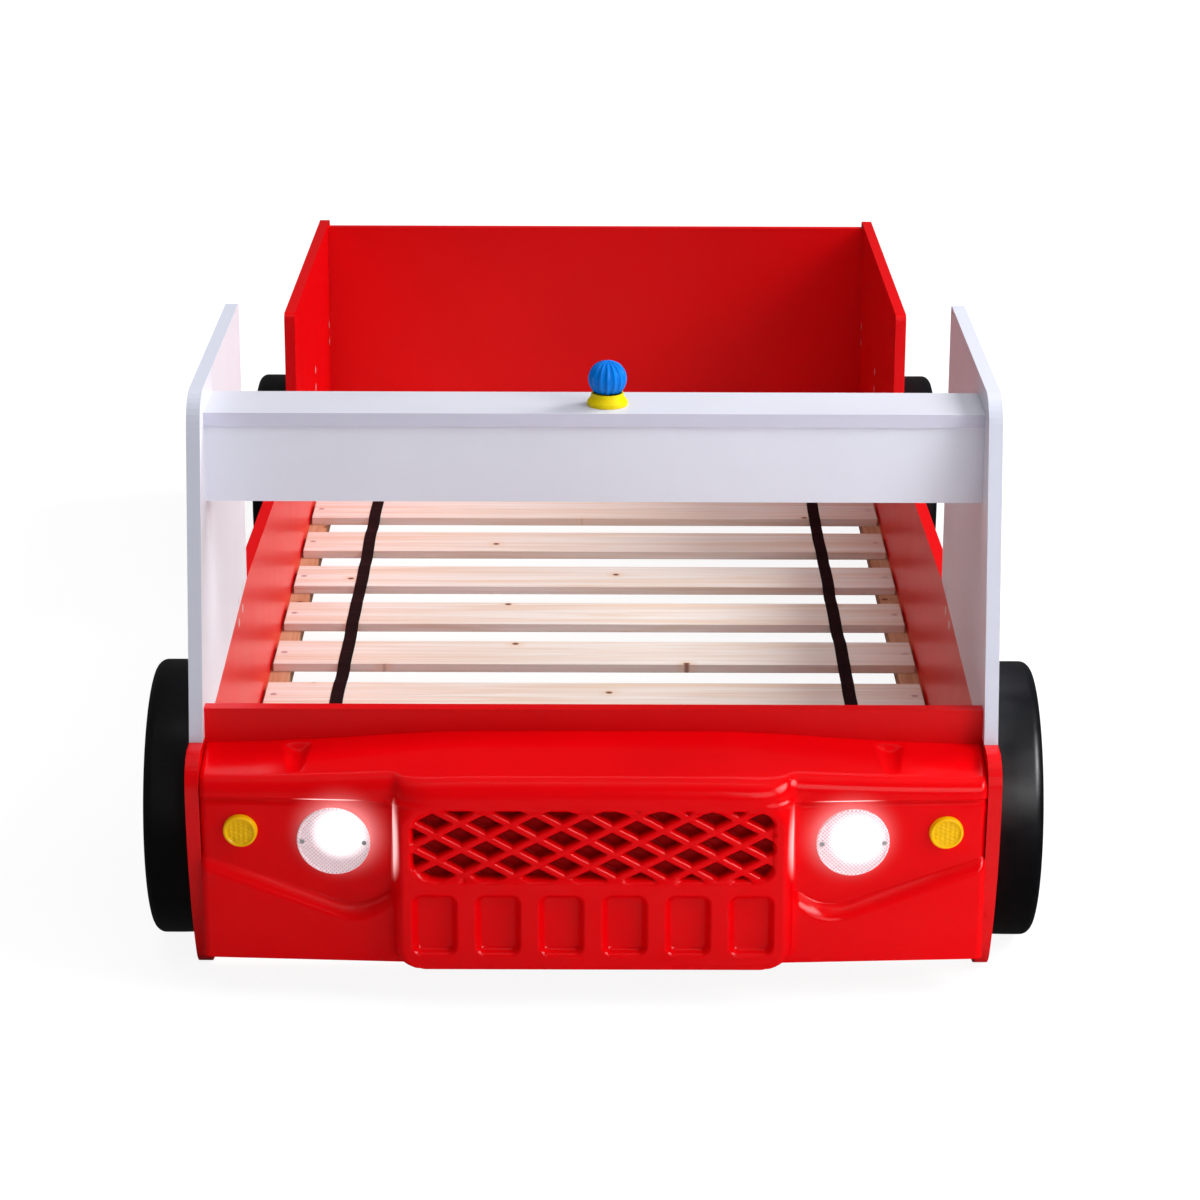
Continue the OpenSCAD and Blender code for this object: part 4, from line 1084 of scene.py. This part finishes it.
@dataclass
class Beacon(Piece):
    """The pleated globe, a little flat on top, on its flared base."""

    foot: Triple = (15.0, 134.0, 660.0)
    radius: float = 22.7
    rise: float = 31.5
    pleats: int = 16
    pleat: float = 1.7
    flat: float = 0.9
    base_r: float = 24.0
    neck_r: float = 19.0
    base_h: float = 15.0

    def build(self) -> None:
        """Makes the globe and the base."""
        low = math.asin((self.base_h - self.rise) / self.radius)
        rows, columns = 72, self.pleats * 16
        tilt = np.linspace(low, math.pi / 2 - 0.004, rows)[:, None]
        turn = np.linspace(0, 2 * math.pi, columns, endpoint=False)[None, :]
        ridge = np.abs(np.sin(turn * self.pleats / 2)) ** 0.9
        r = self.radius - self.pleat * ridge * np.clip(np.cos(tilt) * 1.6, 0, 1)
        up = self.rise + r * np.sin(tilt) - self.flat * smooth((np.sin(tilt) - 0.6) / 0.4)
        points = np.stack([r * np.cos(tilt) * np.cos(turn), r * np.cos(tilt) * np.sin(turn), up],
                          -1).reshape(-1, 3)
        faces = grid_faces(rows, columns, closed=True)
        globe = make_mesh("beacon_pleats", place(points + self.foot), faces, self.paints.blue_globe)
        mount(globe, "blue_plastic", "beacon_globe")
        profile = fillet([
            (0.5, 0, 0), (self.base_r, 0, 0.6), (self.base_r, 4.6, 2.6),
            (self.neck_r + 0.6, 10.6, 3.4), (self.neck_r, self.base_h, 0.9),
            (17.2, self.base_h, 0.6), (16.8, self.base_h - 2.4, 0)])
        points, faces = lathe(profile, 96)
        base = make_mesh("beacon_foot", place(points + self.foot), faces, self.paints.yellow_base)
        mount(base, "yellow_plastic", "beacon_base")


@dataclass
class Wheel(Piece):
    """A hollow moulded wheel with a rounded tread, a ringed side wall and a dished middle."""

    side: Side
    y: float
    name: str
    radius: float = 166.0
    width: float = 58.0
    out: float = 471.0
    shoulder: float = 12.0
    ring: Pair = (145.5, 152.0)
    dish_r: float = 112.0
    dish: float = 9.0
    hub_r: float = 36.0
    inner_r: float = 120.0

    def build(self) -> None:
        """Makes the wheel."""
        width, face, floor = self.width, self.width - 3.0, self.width - self.dish
        inner, outer = self.ring
        profile = fillet([
            (self.inner_r, 0.4, 0), (self.radius - 0.6, 0.4, 2.5),
            (self.radius, width * 0.45, 60.0), (self.radius, width, self.shoulder),
            (outer, width, 1.0), (outer - 1.5, width - 1.0, 0.6),
            (inner + 1.5, width - 1.0, 0.6), (inner, width, 1.0), (self.dish_r, width, 3.0),
            (self.dish_r - 8, floor, 3.0), (self.hub_r + 8, floor, 3.0),
            (self.hub_r + 4, face, 1.5), (7.0, face, 0)], 7)
        points, faces = lathe(profile, 160)
        placed = np.stack([self.side.value * (self.out + points[:, 2]), self.y + points[:, 0],
                           self.radius + points[:, 1]], 1)
        if self.side is Side.RIGHT:
            faces = faces[:, ::-1]
        obj = make_mesh(f"moulded_{self.name}", place(placed), faces, self.paints.black_wheel)
        mount(obj, "black_plastic", self.name)


@dataclass
class Strap(Piece):
    """A webbing strap that lies on the slats and sags a little between them."""

    side: Side
    x: float = 351.0
    width: float = 18.0
    thick: float = 1.2
    top_h: float = 100.0
    slat_w: float = 99.0
    first: float = 155.5
    pitch: float = 176.7
    count: int = 11
    end_in: float = 6.0
    sag: float = 2.6

    def build(self) -> None:
        """Makes the strap."""
        start = self.first - self.slat_w / 2 + self.end_in
        end = self.first + (self.count - 1) * self.pitch + self.slat_w / 2 - self.end_in
        ys = np.linspace(start, end, 640)
        into = (ys - self.first + self.slat_w / 2) % self.pitch - self.slat_w
        t = np.clip(into / (self.pitch - self.slat_w), 0, 1)
        low = self.top_h + 0.05 - self.sag * (1 - (2 * t - 1) ** 2) * (into > 0)
        drift = 0.5 * np.sin(ys / 61.0) + 0.3 * np.sin(ys / 23.0)
        half, thick, edge = self.width / 2, self.thick, 0.5
        ring = [(-half, edge), (-half + edge, 0), (half - edge, 0), (half, edge),
                (half, thick - edge), (half - 1.2, thick), (0, thick - 0.15), (-half + 1.2, thick),
                (-half, thick - edge)]
        grid = np.stack([
            np.stack([self.side.value * (self.x + dx) + drift, ys, low + dz], 1)
            for dx, dz in ring], 1)
        count = len(ring)
        last = len(ys) * count
        faces = [*grid_faces(len(ys), count, True), range(count)[::-1], range(last - count, last)]
        if self.side is Side.RIGHT:
            faces = [f[::-1] for f in faces]
        obj = make_mesh(f"webbing_{self.side.word}", place(grid.reshape(-1, 3)), faces,
                        self.paints.woven_strap)
        mount(obj, "webbing", f"strap_{self.side.word}")


@dataclass
class Boards(Piece):
    """The boards, which keep their own solids and take their lacquer."""

    arris: float = 1.2

    def build(self) -> None:
        """Dresses the boards."""
        wear = self.paints
        for side in ("left", "right"):
            dress(wear.red_side_board, f"side_panel_{side}", f"rear_side_{side}", arris=self.arris)
            dress(wear.white_side_board, f"cab_side_{side}", arris=self.arris)
        dress(wear.red_end_board, "front_board", "headboard", arris=self.arris)
        dress(wear.white_shelf_board, "roof_shelf", arris=self.arris)
        dress(wear.white_face_board, "roof_face_board", arris=self.arris)


@dataclass
class Base(Piece):
    """The slats, the strips that carry them, and the fasteners."""

    slats: int = 11

    def build(self) -> None:
        """Dresses the base."""
        wear = self.paints
        dress(wear.planed_pine, *(f"slat_{i:02d}" for i in range(1, self.slats + 1)))
        dress(wear.strip_pine, "ledger_left", "ledger_right")
        dress(wear.zinc_plating, "slat_screws", "ledger_screws", "wheel_screws", "roof_screws",
              "nose_screws", "corner_bolts", "barrel_nuts", "beacon_screw", "lens_screws",
              "panel_pins", "box_screws")
        dress(wear.black_staple, "strap_staples")
        dress(wear.cam_casting, "panel_cams")
        dress(wear.grey_cap, "hub_caps")


@dataclass
class LampInsides(Piece):
    """Bowls, lamp boards and the battery box behind the front board."""

    arris: float = 0.5

    def build(self) -> None:
        """Dresses the pieces."""
        wear = self.paints
        dress(wear.white_bowl, "lamp_bowl_left", "lamp_bowl_right")
        dress(wear.lamp_board, "led_board_left", "led_board_right")
        dress(wear.box_shell, "battery_box", arris=self.arris)
        dress(wear.box_cover, "battery_cover", arris=self.arris)
        dress(wear.switch_key, "rocker_switch", arris=self.arris)
        dress(wear.cell_wrap, "battery_cells")


@dataclass(frozen=True)
class SoftLamp:
    """A rectangular lamp; glossy surfaces mirror it unless mirrored is False."""

    name: str
    watts: float
    size: Pair
    at: Triple
    to: Triple
    tint: Colour = (1.0, 1.0, 1.0)
    mirrored: bool = True

    def hang(self) -> None:
        """Makes the lamp."""
        data = bpy.data.lights.new(self.name, "AREA")
        data.shape = "RECTANGLE"
        data.size, data.size_y = self.size
        data.energy = self.watts
        data.color = self.tint
        obj = bpy.data.objects.new(self.name, data)
        obj.location = self.at
        way = Vector(self.to) - Vector(self.at)
        obj.rotation_euler = way.to_track_quat("-Z", "Y").to_euler()
        obj.visible_glossy = self.mirrored
        bpy.context.scene.collection.objects.link(obj)


@dataclass
class Studio:
    """A white floor and world, soft lamps and the photograph's camera."""

    focal_px: float = 3531.27
    pitch: float = 0.3168311
    yaw: float = 0.00126865
    roll: float = 0.00329994
    eye: Triple = (0.0020, -4.8512, 1.7360)
    image: float = 1200.0
    centre_y: float = 597.6
    sensor: float = 36.0
    gloss_level: float = 0.06
    sky_level: float = 0.03
    floor_gloss: float = 0.03
    floor_half: float = 14.0
    floor_z: float = -0.0004
    lamps: tuple[SoftLamp, ...] = (
        SoftLamp("key", 430.0, (3.0, 3.0), (5.1, 1.7, 4.4), (-0.4, 0.2, 0.3), (1.0, 0.99, 0.98),
                 mirrored=False),
        SoftLamp("key_front", 28.0, (1.4, 1.4), (2.6, -2.0, 2.3), (0.0, 0.0, 0.3)),
        SoftLamp("key_low", 20.5, (1.2, 1.2), (1.9, -2.1, 1.5), (0.0, -0.8, 0.3),
                 (0.97, 0.98, 1.0)),
        SoftLamp("top", 56.0, (4.0, 3.8), (-0.2, -0.7, 3.2), (-0.2, -0.7, 0.0), mirrored=False),
        SoftLamp("top_right", 14.0, (1.4, 3.4), (1.1, -0.1, 3.2), (1.1, -0.1, 0.0),
                 (0.92, 0.94, 1.0)),
        SoftLamp("strip", 0.9, (1.6, 0.25), (0.0, -1.5, 3.0), (0.0, -0.9, 0.3)),
        SoftLamp("front", 17.5, (2.0, 1.6), (1.4, -4.4, 1.8), (0.0, -0.6, 0.4),
                 (0.97, 0.98, 1.0)))

    def camera(self) -> None:
        """Makes the camera at the photograph's viewing angle."""
        cy, sy = math.cos(self.yaw), math.sin(self.yaw)
        cp, sp = math.cos(self.pitch), math.sin(self.pitch)
        cr, sr = math.cos(self.roll), math.sin(self.roll)
        right, level = Vector((cy, -sy, 0)), Vector((sy, cy, 0))
        ahead = level * cp - Vector((0, 0, sp))
        down = -(level * sp + Vector((0, 0, cp)))
        x, y = cr * right - sr * down, sr * right + cr * down
        data = bpy.data.cameras.new("camera")
        data.sensor_width = self.sensor
        data.lens = self.focal_px / self.image * self.sensor
        data.shift_y = (self.centre_y - self.image / 2) / self.image
        obj = bpy.data.objects.new("camera", data)
        turn = Matrix((x, -y, -ahead)).transposed().to_4x4()
        obj.matrix_world = Matrix.Translation(self.eye) @ turn
        bpy.context.scene.collection.objects.link(obj)
        bpy.context.scene.camera = obj

    def by_ray(self, r: Recipe, seen: object, glossy: float, other: float) -> NodeSocket:
        """Gives camera rays one value, glossy rays a second and all other rays a third."""
        path = r.node("LightPath").outputs
        return r.span(path["Is Camera Ray"], 0.0, 1.0,
                      r.span(path["Is Glossy Ray"], 0.0, 1.0, other, glossy), seen)

    def world(self) -> None:
        """Makes the white world."""
        r = Recipe("studio", "worlds", "Background")
        bpy.context.scene.world = r.owner
        r.set(Color=(1.0, 1.0, 1.0),
              Strength=self.by_ray(r, 1.0, self.gloss_level, self.sky_level))

    def floor(self) -> None:
        """Makes the pale floor, which keeps a faint shadow."""
        r = Recipe("studio_floor")
        r.set(Base_Color=(0.9, 0.9, 0.9), Roughness=0.9, Specular_IOR_Level=0.1)
        seen = r.span(r.away((0.0, 0.0, 0.0)), 1.2, 3.0, 1.14, 1.25, soft=True)
        glow = r.fill(r.node("Emission"), Strength=self.by_ray(r, seen, self.floor_gloss, 0.0))
        share = self.by_ray(r, 0.8, 1.0, 0.0)
        blend = r.fill(r.node("MixShader"), share, r.shader.outputs[0], glow[0])
        out = next(n for n in r.tree.nodes if n.type == "OUTPUT_MATERIAL")
        r.fill(out, blend[0])
        ends = (-self.floor_half, self.floor_half)
        points = np.array([(x, y, self.floor_z) for y in ends for x in ends])
        obj = make_mesh("studio_floor", points, [(0, 1, 3, 2)], r.owner)

    def build(self) -> None:
        """Makes the whole studio."""
        bpy.context.scene.view_settings.view_transform = "Standard"
        self.world()
        self.floor()
        for lamp in self.lamps:
            lamp.hang()
        self.camera()


def main() -> None:
    """Builds every piece in order."""
    logging.basicConfig(level=logging.INFO, format="%(name)s: %(message)s")
    paints = Paints()
    for kind in (Boards, Base, LampInsides, Nose):
        kind(paints).build()
    for side in Side:
        Headlamp(paints, side).build()
        Indicator(paints, side).build()
        Strap(paints, side).build()
        Wheel(paints, side, 137.0, f"wheel_front_{side.word}").build()
        Wheel(paints, side, 1513.0, f"wheel_rear_{side.word}").build()
    Beacon(paints).build()
    Studio().build()


if __name__ == "__main__":
    main()
